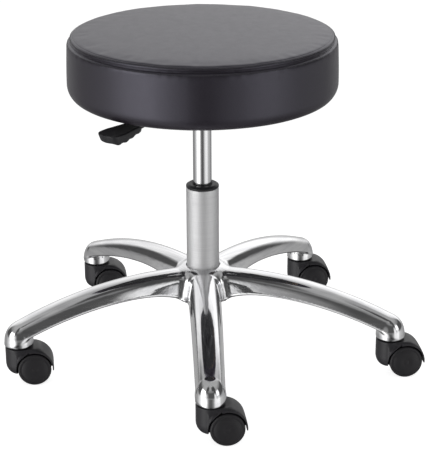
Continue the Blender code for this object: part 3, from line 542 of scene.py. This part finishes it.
def casting_field(points):
    """The whole base round the column: five legs, hub, stem sockets, channels and bores."""
    x, y, z = points.T
    radius = np.hypot(x, y)
    reach, side, next_reach, next_side = along_leg(x, y)
    near, channel = leg_fields(reach, side, z)
    far, _ = leg_fields(next_reach, next_side, z)
    solid = smooth_min(near, far, LEG_TO_LEG)
    hub = radius - HUB_RADIUS - HUB_DRAFT * (HUB_TOP - HUB_SHOULDER - z)
    hub = smooth_max(smooth_max(hub, z - HUB_TOP, HUB_SHOULDER), HUB_BOTTOM - z, HUB_FOOT_BLEND)
    solid = smooth_min(solid, hub, LEG_TO_HUB)
    from_stem = np.hypot(reach - STEM_CIRCLE, side)
    rise = np.clip(z - SOCKET_WAIST, 0.0, None) / (SOCKET_TOP - SOCKET_WAIST)
    dome = np.hypot(from_stem / SOCKET_RADIUS, rise) - 1.0
    socket = smooth_max(dome * SOCKET_RADIUS, SOCKET_BOTTOM - z, SOCKET_FOOT_BLEND)
    solid = smooth_min(solid, socket, LEG_TO_SOCKET)
    solid = smooth_max(solid, -channel, CHANNEL_EDGE)
    bore = np.maximum(from_stem - STEM_BORE, z - STEM_BORE_TOP)
    solid = smooth_max(solid, -bore, BORE_EDGE)
    return smooth_max(solid, TUBE_RADIUS + TUBE_GAP - radius, BORE_EDGE)


def make_base():
    to_local = Matrix.Translation(-COLUMN)
    mesh = skin("base_casting_skin", "base_casting", to_local, casting_field, 0.0016, from_cad_crown)
    add_piece("star_base", mesh, "base", "polished_aluminium", ["base_casting"], COLUMN)


# ---- column -------------------------------------------------------------------------------
TUBE_WALL, TUBE_TAPER, TUBE_FLOOR, ROD_HOLE = 0.0017, 0.0008, 0.003, 0.0046
BUSH_BORE, BUSH_GAP, COLLAR_HEIGHT = 0.0144, 0.0004, 0.0052
NECK_HEIGHT, NECK_HOLE, LID = 0.023, 0.008, 0.002


def make_column():
    """Turned skins of the stand tube, the bush with its collar, and the pressure tube."""
    inner, foot = TUBE_RADIUS - TUBE_WALL, TUBE_RADIUS - TUBE_TAPER
    low, high = TUBE_LOW.z, TUBE_HIGH.z
    outline = rounded([
        (inner, high - 0.004), (inner, high), (TUBE_RADIUS, high), (TUBE_RADIUS, HUB_TOP),
        (foot, HUB_BOTTOM), (foot, low), (ROD_HOLE, low), (ROD_HOLE, low + TUBE_FLOOR),
        (inner - TUBE_TAPER, low + TUBE_FLOOR)], 0.0006)
    tube = revolve("stand_tube", outline, 128, closed=True)
    add_piece("stand_tube", tube, "base", "satin_chrome", ["column_tube"], COLUMN)

    low, high = (corner.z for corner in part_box("guide_bush"))
    flange = high - COLLAR_HEIGHT
    outline = rounded([
        (BUSH_BORE, low), (inner - BUSH_GAP, low), (inner - BUSH_GAP, flange), (TUBE_RADIUS + 0.0001, flange),
        (TUBE_RADIUS + 0.0002, flange + 0.0028), (TUBE_RADIUS - 0.0035, high), (BUSH_BORE + 0.0012, high),
        (BUSH_BORE, high - 0.0012)], 0.0012, 5)
    bush = revolve("collar_bush", outline, 96, closed=True)
    add_piece("collar_bush", bush, "base", "black_plastic", ["guide_bush"], COLUMN)

    low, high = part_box("pressure_tube")
    radius, low, high = (high.x - low.x) / 2, low.z, high.z
    bore = radius - TUBE_WALL
    outline = rounded([
        (bore, low), (radius, low), (radius, high - NECK_HEIGHT), (radius - 0.0007, high), (NECK_HOLE, high),
        (NECK_HOLE, high - LID), (radius - 0.0024, high - LID), (bore, high - NECK_HEIGHT)], 0.0005)
    cylinder = revolve("lift_cylinder", outline, 96, closed=True)
    add_piece("lift_cylinder", cylinder, "seat", "chrome", ["pressure_tube"], COLUMN)


# ---- casters ------------------------------------------------------------------------------
HOOD_RADIUS, HOOD_HALF, NOSE_CURVE, NOSE_HEIGHT = 0.0213, 0.022, 0.013, 0.018
HOOD_EDGE, CREST_LOW, CREST_RISE, CREST_SPAN = 0.0288, 0.0291, 0.0045, 75.0
GUARD_DROP, GUARD_BEHIND, POCKET_RADIUS = 0.0025, 0.004, 0.0270
WEB_HALF, WEB_INNER, WEB_OUTER = 0.0063, 0.0105, 0.0275
WEB_END, WEB_FOOT, WEB_DROP = 0.019, 0.0145, 0.004
HOOD_BORE, HOOD_BORE_START = 0.0043, 0.0315
NOSE_TO_GUARD, HOOD_CORNER, WEB_CORNER, THIN_CORNER = 0.004, 0.0016, 0.0012, 0.0008
WHEEL_WIDTH, WHEEL_INNER_FACE = 0.0159, 0.0069
WHEEL_SIDES = (("left", math.pi, -WHEEL_INNER_FACE), ("right", 0.0, WHEEL_INNER_FACE))
# the wheel's outer face as (radius, distance below it), and its back as (radius, height)
WHEEL_FACE = ((0.0, 0.0), (0.0032, 0.0), (0.0040, 0.0003), (0.0048, 0.0003), (0.0056, 0.0001),
              (0.0190, 0.0001), (0.0196, 0.0006), (0.0203, 0.0006), (0.0208, 0.0001))
WHEEL_BACK = ((0.0200, 0.0), (0.0190, 0.0022), (0.0075, 0.0022), (0.0068, 0.0), (0.0033, 0.0),
              (0.0033, 0.0125), (0.0, 0.0125))


def hood_field(points):
    """Hood round its stem: a rounded nose, a guard over both wheels, a pocket for them and a web between."""
    x, y, z = points.T
    from_stem = np.hypot(x, y)
    low = np.clip(HOOD_BOTTOM + NOSE_HEIGHT - z, 0.0, None) / NOSE_HEIGHT
    out = np.clip(from_stem - HOOD_RADIUS + NOSE_CURVE, 0.0, None) / NOSE_CURVE
    front = (np.hypot(out, low) - 1.0) * NOSE_CURVE
    across = np.clip(np.abs(y) / HOOD_HALF, 0.0, 1.0)
    along, up = x - TRAIL, z - WHEEL_RADIUS
    from_axle = np.hypot(along, up)
    angle = np.degrees(np.arctan2(up, along))
    crest = CREST_LOW + CREST_RISE * (angle / CREST_SPAN) ** 2
    rise = np.power(np.clip(1.0 - across ** 2.5, 1e-6, 1.0), 0.4)
    guard = from_axle - (HOOD_EDGE + (crest - HOOD_EDGE) * rise)
    guard = smooth_max(guard, np.abs(y) - HOOD_HALF, HOOD_CORNER)
    guard = np.maximum(guard, WHEEL_RADIUS - GUARD_DROP - z)
    guard = np.maximum(guard, -x - GUARD_BEHIND)
    shell = smooth_min(front, guard, NOSE_TO_GUARD)
    shell = smooth_max(shell, z - HOOD_TOP, HOOD_CORNER)
    shell = smooth_max(shell, POCKET_RADIUS - from_axle, THIN_CORNER)
    rear = np.maximum(along - WEB_END, WEB_FOOT - z)
    disc = np.minimum(from_axle - WEB_INNER, np.maximum(from_axle - WEB_OUTER, rear))
    web = np.maximum(np.maximum(np.abs(y) - WEB_HALF, disc), z - HOOD_TOP + WEB_DROP)
    solid = smooth_min(shell, web, WEB_CORNER)
    bore = np.maximum(from_stem - HOOD_BORE, HOOD_BORE_START - z)
    return smooth_max(solid, -bore, THIN_CORNER)


def wheel_outline():
    """Plain moulded wheel with its back at height 0: crowned tread, round shoulders, faintly stepped face."""
    r, width = WHEEL_RADIUS, WHEEL_WIDTH
    face = [(radius, width - sunk) for radius, sunk in WHEEL_FACE]
    shoulder = arc((r - 0.0030, width - 0.0030), (0.0030, 0.0029), 82, 0, 7)
    inner = [(r - 0.0001, width * 0.5)] + arc((r - 0.0014, 0.0014), (0.0013, 0.0014), 0, -90, 4)
    return face + shoulder + inner + list(WHEEL_BACK)


def make_casters():
    """One hood and one wheel mesh, set in place for every caster."""
    to_local = Matrix.Rotation(-HEADING, 4, "Z") @ Matrix.Translation(-STEMS["front"])
    hood = skin("caster_hood_skin", "caster_front_hood", to_local, hood_field, 0.0010)
    wheel = revolve("wheel", wheel_outline(), 96)
    for place in PLACES:
        body, stem = f"caster_{place}", STEMS[place]
        add_piece(f"hood_{place}", hood, body, "caster_nylon", [f"{body}_hood"], stem, HEADING)
        at_stem = Matrix.Translation(stem) @ Matrix.Rotation(HEADING, 4, "Z")
        for side, turn, inner_face in WHEEL_SIDES:
            node = f"{body}_wheel_{side}"
            lay = Matrix.Rotation(math.radians(-90) + turn, 4, "X")
            pose = at_stem @ Matrix.Translation((TRAIL, inner_face, WHEEL_RADIUS)) @ lay
            add_piece(f"wheel_{place}_{side}", wheel, node, "wheel_nylon", [node], pose=pose)


# ---- lever --------------------------------------------------------------------------------
PADDLE_START, PADDLE_END, PADDLE_ROWS, PADDLE_COLUMNS = 0.145, 0.209, 56, 9
PADDLE_SLOPE, PADDLE_DISH, PADDLE_EDGE = 0.0022, 0.0006, 0.002
FINGER_WAVES, FINGER_DEPTH, TIP_SLANT = 4.0, 0.0007, 0.0045
# half width and depth at the start, what they gain, and the share of the length they gain it over
PADDLE_HALF, PADDLE_FLARE, FLARE_SHARE = 0.0135, 0.0060, 0.6
PADDLE_DEPTH, DEPTH_GAIN, GAIN_SHARE = 0.0105, 0.0040, 0.5
# the shares from which the tip turns round in plan and thins
TIP_TURN, TIP_POWER, TIP_SQUARE, TIP_THIN, TIP_THINNING = 0.74, 2.6, 0.25, 0.85, 0.0025


def make_paddle():
    """Nearly flat grip with rounded flanks, finger waves along its underside and a slanted tip."""
    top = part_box("lever_paddle")[1].z
    points = []
    for i in range(PADDLE_ROWS):
        share = i / (PADDLE_ROWS - 1)
        reach = PADDLE_START + (PADDLE_END - PADDLE_START) * share
        upper = top + PADDLE_SLOPE * (1.0 - share)
        half = PADDLE_HALF + PADDLE_FLARE * min(share / FLARE_SHARE, 1.0)
        past_turn = max((share - TIP_TURN) / (1.0 - TIP_TURN), 0.0)
        half *= math.sqrt(max(1.0 - past_turn ** TIP_POWER, 0.0)) * (1.0 - TIP_SQUARE) + TIP_SQUARE
        deep = PADDLE_DEPTH + DEPTH_GAIN * min(share / GAIN_SHARE, 1.0)
        deep -= TIP_THINNING * max(share - TIP_THIN, 0.0) / (1.0 - TIP_THIN)
        low = upper - deep - FINGER_DEPTH * math.sin(2 * math.pi * FINGER_WAVES * share)
        section = []
        for k in range(PADDLE_COLUMNS):
            t = k / (PADDLE_COLUMNS - 1)
            section.append(((half - PADDLE_EDGE) * t, upper - PADDLE_DISH * (1 - t * t)))
        section += arc((half - PADDLE_EDGE, upper - PADDLE_EDGE), (PADDLE_EDGE, PADDLE_EDGE), 75, 0, 4)
        section += [(half - 0.0012, low + 0.0040)]
        section += arc((half - 0.0050, low + 0.0034), (0.0036, 0.0034), -10, -90, 5)
        section += [((half - 0.005) * 0.5, low), (0.0, low)]
        ring = section + [(-y, z) for y, z in reversed(section[1:-1])]
        slant = TIP_SLANT * share ** 3
        points += [(reach - slant * (upper - z) / deep, y, z) for y, z in ring]
    columns = len(ring)
    faces = grid_faces(PADDLE_ROWS, columns, wrap=True)
    faces += [tuple(range(columns)), tuple((PADDLE_ROWS - 1) * columns + k for k in reversed(range(columns)))]
    mesh = new_mesh("paddle_grip", points, faces, 50.0)
    add_piece("paddle_grip", mesh, "lever", "black_plastic", ["lever_paddle"], COLUMN, LEVER_ANGLE)


# ---- cushion ------------------------------------------------------------------------------
# the edge of the seat, as (radius, distance below the top)
TUCK = ((0.1906, 0.0041), (0.1909, 0.0046), (0.1913, 0.0047), (0.1917, 0.0045))
ROLL = ((0.1924, 0.0047), (0.1932, 0.0054), (0.1939, 0.0064), (0.1944, 0.0076), (0.1946, 0.0085),
        (0.1944, 0.0091))
SEAM = ((0.1937, 0.0096), (0.1936, 0.0101), (0.1941, 0.0105), (0.1946, 0.0110), (0.1946, 0.0115),
        (0.1942, 0.0120), (0.1942, 0.0125))
SHOULDER = ((0.1948, 0.0129), (0.1960, 0.0131), (0.1972, 0.0137), (0.1982, 0.0148), (0.1989, 0.0164),
            (0.1994, 0.0188))
CROWN_RADIUS, CROWN_FALL, CROWN_POWER, CROWN_EDGE = 0.190, 0.0038, 2.6, 0.1902
SEAM_Z = SEAT_HIGH.z - 0.0102
UNDER_CURVE = (0.018, 0.0210)
WRAP_START, WRAP_END = 0.178, 0.1572
COVER_STEPS = 432


def seat_profile():
    """Outer face from the crown's middle, over the seam, down the boxing and in under the board."""
    top, low = SEAT_HIGH.z, SEAT_LOW.z
    crown = [(r, top - CROWN_FALL * (r / CROWN_RADIUS) ** CROWN_POWER)
             for r in np.linspace(0.0, CROWN_EDGE, 36)]
    edge = [(r, top - drop) for r, drop in TUCK + ROLL + SEAM + SHOULDER]
    boxing = [(0.1995 + 0.0015 * math.sin(math.pi / 2 * t), top - 0.0195 - 0.054 * t)
              for t in np.linspace(0.04, 1.0, 24)]
    under = arc((SEAT_RADIUS - UNDER_CURVE[0], low + UNDER_CURVE[1]), UNDER_CURVE, -6, -90, 14)
    wrap = [(r, low) for r in np.linspace(WRAP_START, WRAP_END, 6)]
    wrap += [(0.1566, low + 0.0003), (0.1564, low + 0.0010), (0.1564, low + 0.0016)]
    return crown + edge + boxing + under + wrap


def ring_points(outline, steps):
    """Points of a turned surface, one ring per outline point, as an array of rings."""
    angles = 2 * np.pi * np.arange(steps) / steps
    radii, heights = np.array(outline).T
    rings = np.empty((len(outline), steps, 3))
    rings[:, :, 0] = radii[:, None] * np.cos(angles)
    rings[:, :, 1] = radii[:, None] * np.sin(angles)
    rings[:, :, 2] = heights[:, None]
    return rings


def surface_from_rings(name, rings):
    """Skin rings that start from a pole, smooth all over."""
    count, steps, _ = rings.shape
    points = [tuple(rings[0, 0])] + [tuple(point) for ring in rings[1:] for point in ring]
    faces = [(0, 1 + k, 1 + (k + 1) % steps) for k in range(steps)]
    faces += [tuple(1 + c for c in reversed(face)) for face in grid_faces(count - 1, steps, wrap=True)]
    return new_mesh(name, points, faces, 180.0)


SWELL_STEPS, SWELL_FRAMES, SWELL_CAP, SWELL_START = 112, 20, 0.0016, 0.0009
HELD_WRAP = 0.020


def run_length(outline):
    """Distance along an outline to each of its points."""
    steps = np.linalg.norm(np.diff(np.array(outline), axis=0), axis=1)
    return np.concatenate([[0.0], np.cumsum(steps)])


def simulate_swell(outline):
    """Blow the cover up a little as cloth held at its seam and wrap; return the growth by ring and step."""
    length = run_length(outline)
    seam_row = min(range(len(outline)), key=lambda i: abs(outline[i][1] - SEAM_Z) + (outline[i][0] < 0.19))
    seam_at = length[seam_row]
    stations = [np.linspace(0, seam_at, 34), np.linspace(seam_at, length[-1], 24)]
    stations = np.unique(np.concatenate(stations))
    coarse = np.stack([np.interp(stations, length, values) for values in np.array(outline).T], axis=1)
    rings = ring_points(coarse, SWELL_STEPS)
    work = add_object("cloth", surface_from_rings("cloth", rings))
    pins = work.vertex_groups.new(name="pins")
    held = [i for i, t in enumerate(stations) if abs(t - seam_at) < 1e-6 or t > length[-1] - HELD_WRAP]
    for i in held:
        pins.add([1 + (i - 1) * SWELL_STEPS + k for k in range(SWELL_STEPS)], 1.0, "REPLACE")
    cloth = work.modifiers.new("cloth", "CLOTH")
    cloth.settings.quality = 6
    cloth.settings.vertex_group_mass = "pins"
    cloth.settings.use_pressure = True
    cloth.settings.uniform_pressure_force = 4.0
    cloth.settings.effector_weights.gravity = 0.0
    cloth.settings.tension_stiffness = cloth.settings.compression_stiffness = 25.0
    cloth.settings.bending_stiffness = 2.0
    cloth.point_cache.frame_start, cloth.point_cache.frame_end = 1, SWELL_FRAMES
    before = np.array([tuple(v.co) for v in work.data.vertices])
    for frame_number in range(1, SWELL_FRAMES + 1):
        bpy.context.scene.frame_set(frame_number)
    result = work.evaluated_get(bpy.context.evaluated_depsgraph_get()).data
    growth = np.array([tuple(v.co) for v in result.vertices]) - before
    bpy.data.objects.remove(work, do_unlink=True)
    bpy.context.scene.frame_set(1)
    size = np.linalg.norm(growth, axis=1, keepdims=True)
    growth *= np.minimum(1.0, SWELL_CAP / np.maximum(size, 1e-9))
    pole = np.repeat(growth[:1], SWELL_STEPS, axis=0)[None]
    return stations, np.concatenate([pole, growth[1:].reshape(-1, SWELL_STEPS, 3)])


def swelled(rings, outline):
    """Apply the simulated growth to the fine rings, less the amount the form starts small by."""
    stations, growth = simulate_swell(outline)
    steps = rings.shape[1]
    by_row = np.array([[np.interp(run_length(outline), stations, growth[:, k, axis]) for axis in range(3)]
                       for k in range(SWELL_STEPS)])
    wrapped = np.concatenate([by_row, by_row[:1]])
    coarse_place = np.arange(SWELL_STEPS + 1) / SWELL_STEPS
    place = np.arange(steps) / steps
    fine = np.empty_like(rings)
    for axis in range(3):
        for row in range(len(outline)):
            fine[row, :, axis] = np.interp(place, coarse_place, wrapped[:, axis, row])
    size = np.linalg.norm(fine, axis=2, keepdims=True)
    return rings + fine * (1.0 - SWELL_START / np.maximum(size, SWELL_START))


GATHER_DEPTH, BULGE_DEPTH, SWAY_DEPTH = 0.00016, 0.00022, 0.0003


def make_cushion():
    """Cover with its swell, gathers below the seam, broad bulges down the boxing and a slow sway."""
    outline = seat_profile()
    rings = ring_points(outline, COVER_STEPS)
    rings = swelled(rings, outline)
    rng = np.random.default_rng(4)
    angles = 2 * np.pi * np.arange(COVER_STEPS) / COVER_STEPS

    def ripple(low, high, count):
        """Sum of waves that go low..high times round, with its depth evened out."""
        waves, phases = rng.integers(low, high, count), rng.uniform(0, 2 * np.pi, count)
        return np.sin(waves[:, None] * angles + phases[:, None]).sum(axis=0) / count ** 0.5

    gathers, sway, bulge = ripple(36, 96, 14), ripple(2, 9, 5), ripple(9, 26, 6)
    radii, heights = np.array(outline).T
    outer = radii > 0.17
    near = np.exp(-((heights - SEAM_Z + 0.004) / 0.0065) ** 2) * outer
    sides = np.clip((SEAT_HIGH.z - 0.012 - heights) / 0.02, 0.0, 1.0)
    sides *= np.clip((heights - SEAT_LOW.z) / 0.02, 0.0, 1.0)
    push = GATHER_DEPTH * near[:, None] * gathers + BULGE_DEPTH * sides[:, None] * bulge
    push -= SWAY_DEPTH * np.abs(sway) * outer[:, None]
    on_top = (radii / 0.19) ** 2 * (heights > SEAT_HIGH.z - 0.01)
    rings[:, :, 0] += push * np.cos(angles)
    rings[:, :, 1] += push * np.sin(angles)
    rings[:, :, 2] -= SWAY_DEPTH * np.abs(sway) * on_top[:, None]
    mesh = surface_from_rings("cushion_cover", rings)
    cover = add_piece("cushion_cover", mesh, "seat", "black_vinyl", ["seat_cover"], SEAT_MIDDLE)
    make_foam(outline)


def make_foam(cover_outline):
    """Foam pad that fills the cover down to the board, under a thin gap."""
    bottom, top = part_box("seat_foam")[0].z, SEAT_HIGH.z
    gap = 0.0028
    outline = [(0.0, top - gap), (0.100, top - gap - 0.0010), (0.180, top - gap - 0.0040),
               (0.1885, top - 0.0085)]
    outline += [(r - gap, z) for r, z in cover_outline if r > 0.19 and bottom < z < top - 0.010]
    outline += [(outline[-1][0] - 0.0008, bottom), (0.0, bottom)]
    foam_core = revolve("foam_core", rounded(outline, 0.003), 96)
    foam_core.flip_normals()
    add_piece("foam_core", foam_core, "seat", "foam", ["seat_foam"], SEAT_MIDDLE)


# rows as (radius, distance below the top, lean of the surface); a stitch's rings as (place along its half
# length, thickness, lift off the surface)
STITCH_ROWS = ((0.1940, 0.0066, 1.07), (0.1983, 0.0149, 0.98))
STITCH_PITCH, STITCH_HALF, STITCH_SIDES = 0.0042, 0.00165, 6
STITCH_RINGS = ((-1.0, 0.00012, -0.0003), (-0.7, 0.00030, 0.0), (0.0, 0.00034, 0.00014),
                (0.7, 0.00030, 0.0), (1.0, 0.00012, -0.0003))


def make_stitching():
    """Two rows of lockstitch, one each side of the seam."""
    points, faces = [], []
    for radius, drop, tilt in STITCH_ROWS:
        count = int(2 * math.pi * radius / STITCH_PITCH)
        for k in range(count):
            angle = 2 * math.pi * k / count
            out = Vector((math.cos(angle), math.sin(angle), 0))
            along = Vector((-math.sin(angle), math.cos(angle), 0))
            normal = (out * math.sin(tilt) + Vector((0, 0, math.cos(tilt)))).normalized()
            across = along.cross(normal)
            base = out * radius + Vector((0, 0, SEAT_HIGH.z - drop))
            first = len(points)
            for t, thickness, lift in STITCH_RINGS:
                for m in range(STITCH_SIDES):
                    turn = 2 * math.pi / STITCH_SIDES * m
                    offset = (across * math.cos(turn) + normal * math.sin(turn)) * thickness
                    points.append(base + along * (t * STITCH_HALF) + normal * lift + offset)
            skin_faces = grid_faces(len(STITCH_RINGS), STITCH_SIDES, wrap=True)
            faces += [tuple(c + first for c in face) for face in skin_faces]
            faces.append(tuple(range(first, first + STITCH_SIDES)))
            faces.append(tuple(reversed(range(len(points) - STITCH_SIDES, len(points)))))
    mesh = new_mesh("seam_stitching", points, faces, 80.0)
    add_piece("seam_stitching", mesh, "seat", "black_vinyl", [], SEAT_MIDDLE, material="thread")


# ---- stage, light and camera --------------------------------------------------------------
# pairs of angle in degrees and level; azimuth 0 is towards the camera and grows to its right. AROUND_ tables,
# BEHIND and BACK_SIDES go by azimuth, the others by elevation. Below the horizon the level is AROUND_LOW
# times DEEP. Above it, it is FRONT_RISE, mixed with NEAR_RISE, SEAT_SHADE and PANEL_RISE as far as their
# AROUND_ tables say, and it gives way to BACK_RISE times BACK_SIDES behind the object
AROUND_LOW = ((-180, 0.55), (-130, 0.35), (-108, 0.35), (-90, 0.60), (-75, 0.95), (-58, 1.85), (-38, 2.05),
              (-26, 0.95), (-14, 0.25), (-5, 0.11), (8, 0.11), (18, 0.25), (38, 1.00), (62, 1.10), (80, 0.55),
              (104, 0.45), (130, 0.35), (180, 0.55))
DEEP = ((-90, 0.28), (-48, 0.30), (-32, 0.70), (-17, 1.0), (90, 1.0))
FRONT_RISE = ((-90, 0.40), (0, 0.30), (6, 0.085), (26, 0.085), (38, 0.28), (50, 0.40), (90, 0.42))
AROUND_NEAR = ((-180, 0.0), (-52, 0.0), (-46, 1.0), (-31, 1.0), (-26, 0.35), (-20, 0.20), (-12, 0.0),
               (28, 0.0), (32, 1.0), (44, 1.0), (50, 0.0), (180, 0.0))
NEAR_RISE = ((-90, 0.40), (-2, 0.95), (13, 0.95), (20, 0.60), (26, 0.14), (31, 0.07), (54, 0.06), (66, 0.30),
             (90, 0.42))
AROUND_SEAT = ((-180, 0.0), (-60, 0.0), (-50, 1.0), (-20, 1.0), (-10, 0.0), (9, 0.0), (16, 1.0), (46, 1.0),
               (56, 0.0), (180, 0.0))
SEAT_RISE = ((-90, 0.0), (34, 0.0), (44, 1.0), (58, 1.0), (66, 0.0), (90, 0.0))
SEAT_SHADE = 0.07
AROUND_PANEL = ((-180, 0.0), (-130, 0.0), (-84, 0.0), (-76, 1.0), (-45, 1.0), (-39, 0.0), (0, 0.0), (46, 0.0),
                (54, 0.6), (66, 0.6), (76, 0.0), (130, 0.0), (180, 0.0))
PANEL_RISE = ((-90, 1.20), (7, 1.20), (12, 3.00), (24, 3.00), (36, 0.40), (90, 0.42))
BACK_RISE = ((-90, 0.60), (4, 0.70), (12, 1.12), (28, 1.12), (40, 0.90), (60, 0.45), (90, 0.42))
BACK_SIDES = ((-180, 1.0), (-172, 0.88), (-90, 0.88), (90, 1.10), (172, 1.10), (180, 1.0))
BEHIND = ((-180, 1.0), (-142, 1.0), (-120, 0.0), (120, 0.0), (142, 1.0), (180, 1.0))
HORIZON = ((-90, 0.0), (-5, 0.0), (5, 1.0), (90, 1.0))
BRIGHTEST, BACKDROP = 4.0, 1.05
FLOOR_RADIUS, FLOOR_GLOW, FLOOR_DROP = 0.80, 0.80, 0.0002


def make_stage():
    """Plain pale disc to stand on; the metal doesn't mirror it."""
    floor = add_object("floor", revolve("floor", [(0.0, 0.0), (FLOOR_RADIUS, 0.0)], 96))
    floor.location = (COLUMN.x, COLUMN.y, -FLOOR_DROP)
    nodes = Nodes("pale_floor", (0.92, 0.92, 0.92), 0.85)
    nodes.shader.inputs["Emission Color"].default_value = (1, 1, 1, 1)
    nodes.shader.inputs["Emission Strength"].default_value = FLOOR_GLOW
    floor.data.materials.append(nodes.material)
    floor.visible_glossy = False


def make_world():
    """Soft studio surround, by direction: a dim front with two side panels, and a bright back."""
    world = bpy.data.worlds.new("studio")
    bpy.context.scene.world = world
    world.use_nodes = True
    tree = world.node_tree
    tree.nodes.clear()

    def calculate(operation, first, second=0.0):
        node = tree.nodes.new("ShaderNodeMath")
        node.operation = operation
        for socket, value in zip(node.inputs, (first, second)):
            if isinstance(value, bpy.types.NodeSocket):
                tree.links.new(value, socket)
            else:
                socket.default_value = value
        return node.outputs[0]

    def ramp(angle, stops):
        """Level over an angle, from a table of pairs that spans all of it."""
        low, high = stops[0][0], stops[-1][0]
        node = tree.nodes.new("ShaderNodeValToRGB")
        node.color_ramp.interpolation = "EASE"
        points = node.color_ramp.elements
        while len(points) < len(stops):
            points.new(0.5)
        for point, (place, level) in zip(points, stops):
            point.position = (place - low) / (high - low)
            point.color = (level / BRIGHTEST, level / BRIGHTEST, level / BRIGHTEST, 1.0)
        share = calculate("DIVIDE", calculate("SUBTRACT", angle, low), high - low)
        tree.links.new(share, node.inputs["Fac"])
        return calculate("MULTIPLY", node.outputs["Color"], BRIGHTEST)

    def between(first, second, factor):
        return calculate("ADD", calculate("MULTIPLY", first, calculate("SUBTRACT", 1.0, factor)),
                         calculate("MULTIPLY", second, factor))

    direction = tree.nodes.new("ShaderNodeTexCoord").outputs["Generated"]
    split = tree.nodes.new("ShaderNodeSeparateXYZ")
    tree.links.new(direction, split.inputs[0])
    x, y, z = split.outputs
    azimuth = calculate("MULTIPLY", calculate("ARCTAN2", x, calculate("MULTIPLY", y, -1.0)), 180 / math.pi)
    elevation = calculate("MULTIPLY", calculate("ARCSINE", z), 180 / math.pi)
    below = calculate("MULTIPLY", ramp(azimuth, AROUND_LOW), ramp(elevation, DEEP))
    front = between(ramp(elevation, FRONT_RISE), ramp(elevation, NEAR_RISE), ramp(azimuth, AROUND_NEAR))
    under_seat = calculate("MULTIPLY", ramp(elevation, SEAT_RISE), ramp(azimuth, AROUND_SEAT))
    front = between(front, SEAT_SHADE, under_seat)
    front = between(front, ramp(elevation, PANEL_RISE), ramp(azimuth, AROUND_PANEL))
    back = calculate("MULTIPLY", ramp(elevation, BACK_RISE), ramp(azimuth, BACK_SIDES))
    above = between(front, back, ramp(azimuth, BEHIND))
    level = between(below, above, ramp(elevation, HORIZON))
    seen = tree.nodes.new("ShaderNodeLightPath").outputs["Is Camera Ray"]
    background = tree.nodes.new("ShaderNodeBackground")
    background.inputs["Color"].default_value = (1, 1, 1, 1)
    tree.links.new(between(level, BACKDROP, seen), background.inputs["Strength"])
    output = tree.nodes.new("ShaderNodeOutputWorld")
    tree.links.new(background.outputs[0], output.inputs[0])
    bpy.context.scene.view_settings.view_transform = "Standard"


CAMERA_DISTANCE, CAMERA_HEIGHT = 2.2626, 1.0690
CAMERA_YAW, CAMERA_PITCH, CAMERA_ROLL = 0.0073, 0.3624, -0.0042
CAMERA_SENSOR, CAMERA_LENS = 36.0, 126.27


def make_camera():
    """Camera in front of the column, turned and tilted as fitted to the photograph's view."""
    yaw, pitch, roll = CAMERA_YAW, CAMERA_PITCH, CAMERA_ROLL
    ahead = Vector((math.sin(yaw) * math.cos(pitch), math.cos(yaw) * math.cos(pitch), -math.sin(pitch)))
    right = Vector((math.cos(yaw), -math.sin(yaw), 0))
    up = right.cross(ahead)
    tilted_right = math.cos(roll) * right + math.sin(roll) * up
    tilted_up = math.cos(roll) * up - math.sin(roll) * right
    data = bpy.data.cameras.new("camera")
    data.sensor_width = CAMERA_SENSOR
    data.lens = CAMERA_LENS
    data.clip_end = 30.0
    camera = add_object("camera", data)
    pose = Matrix((tilted_right, tilted_up, -ahead)).transposed().to_4x4()
    pose.translation = COLUMN + Vector((0, -CAMERA_DISTANCE, CAMERA_HEIGHT))
    camera.matrix_world = pose
    bpy.context.scene.camera = camera


dress_cad_nodes()
make_base()
make_column()
make_casters()
make_paddle()
make_cushion()
make_stitching()
make_stage()
make_world()
make_camera()
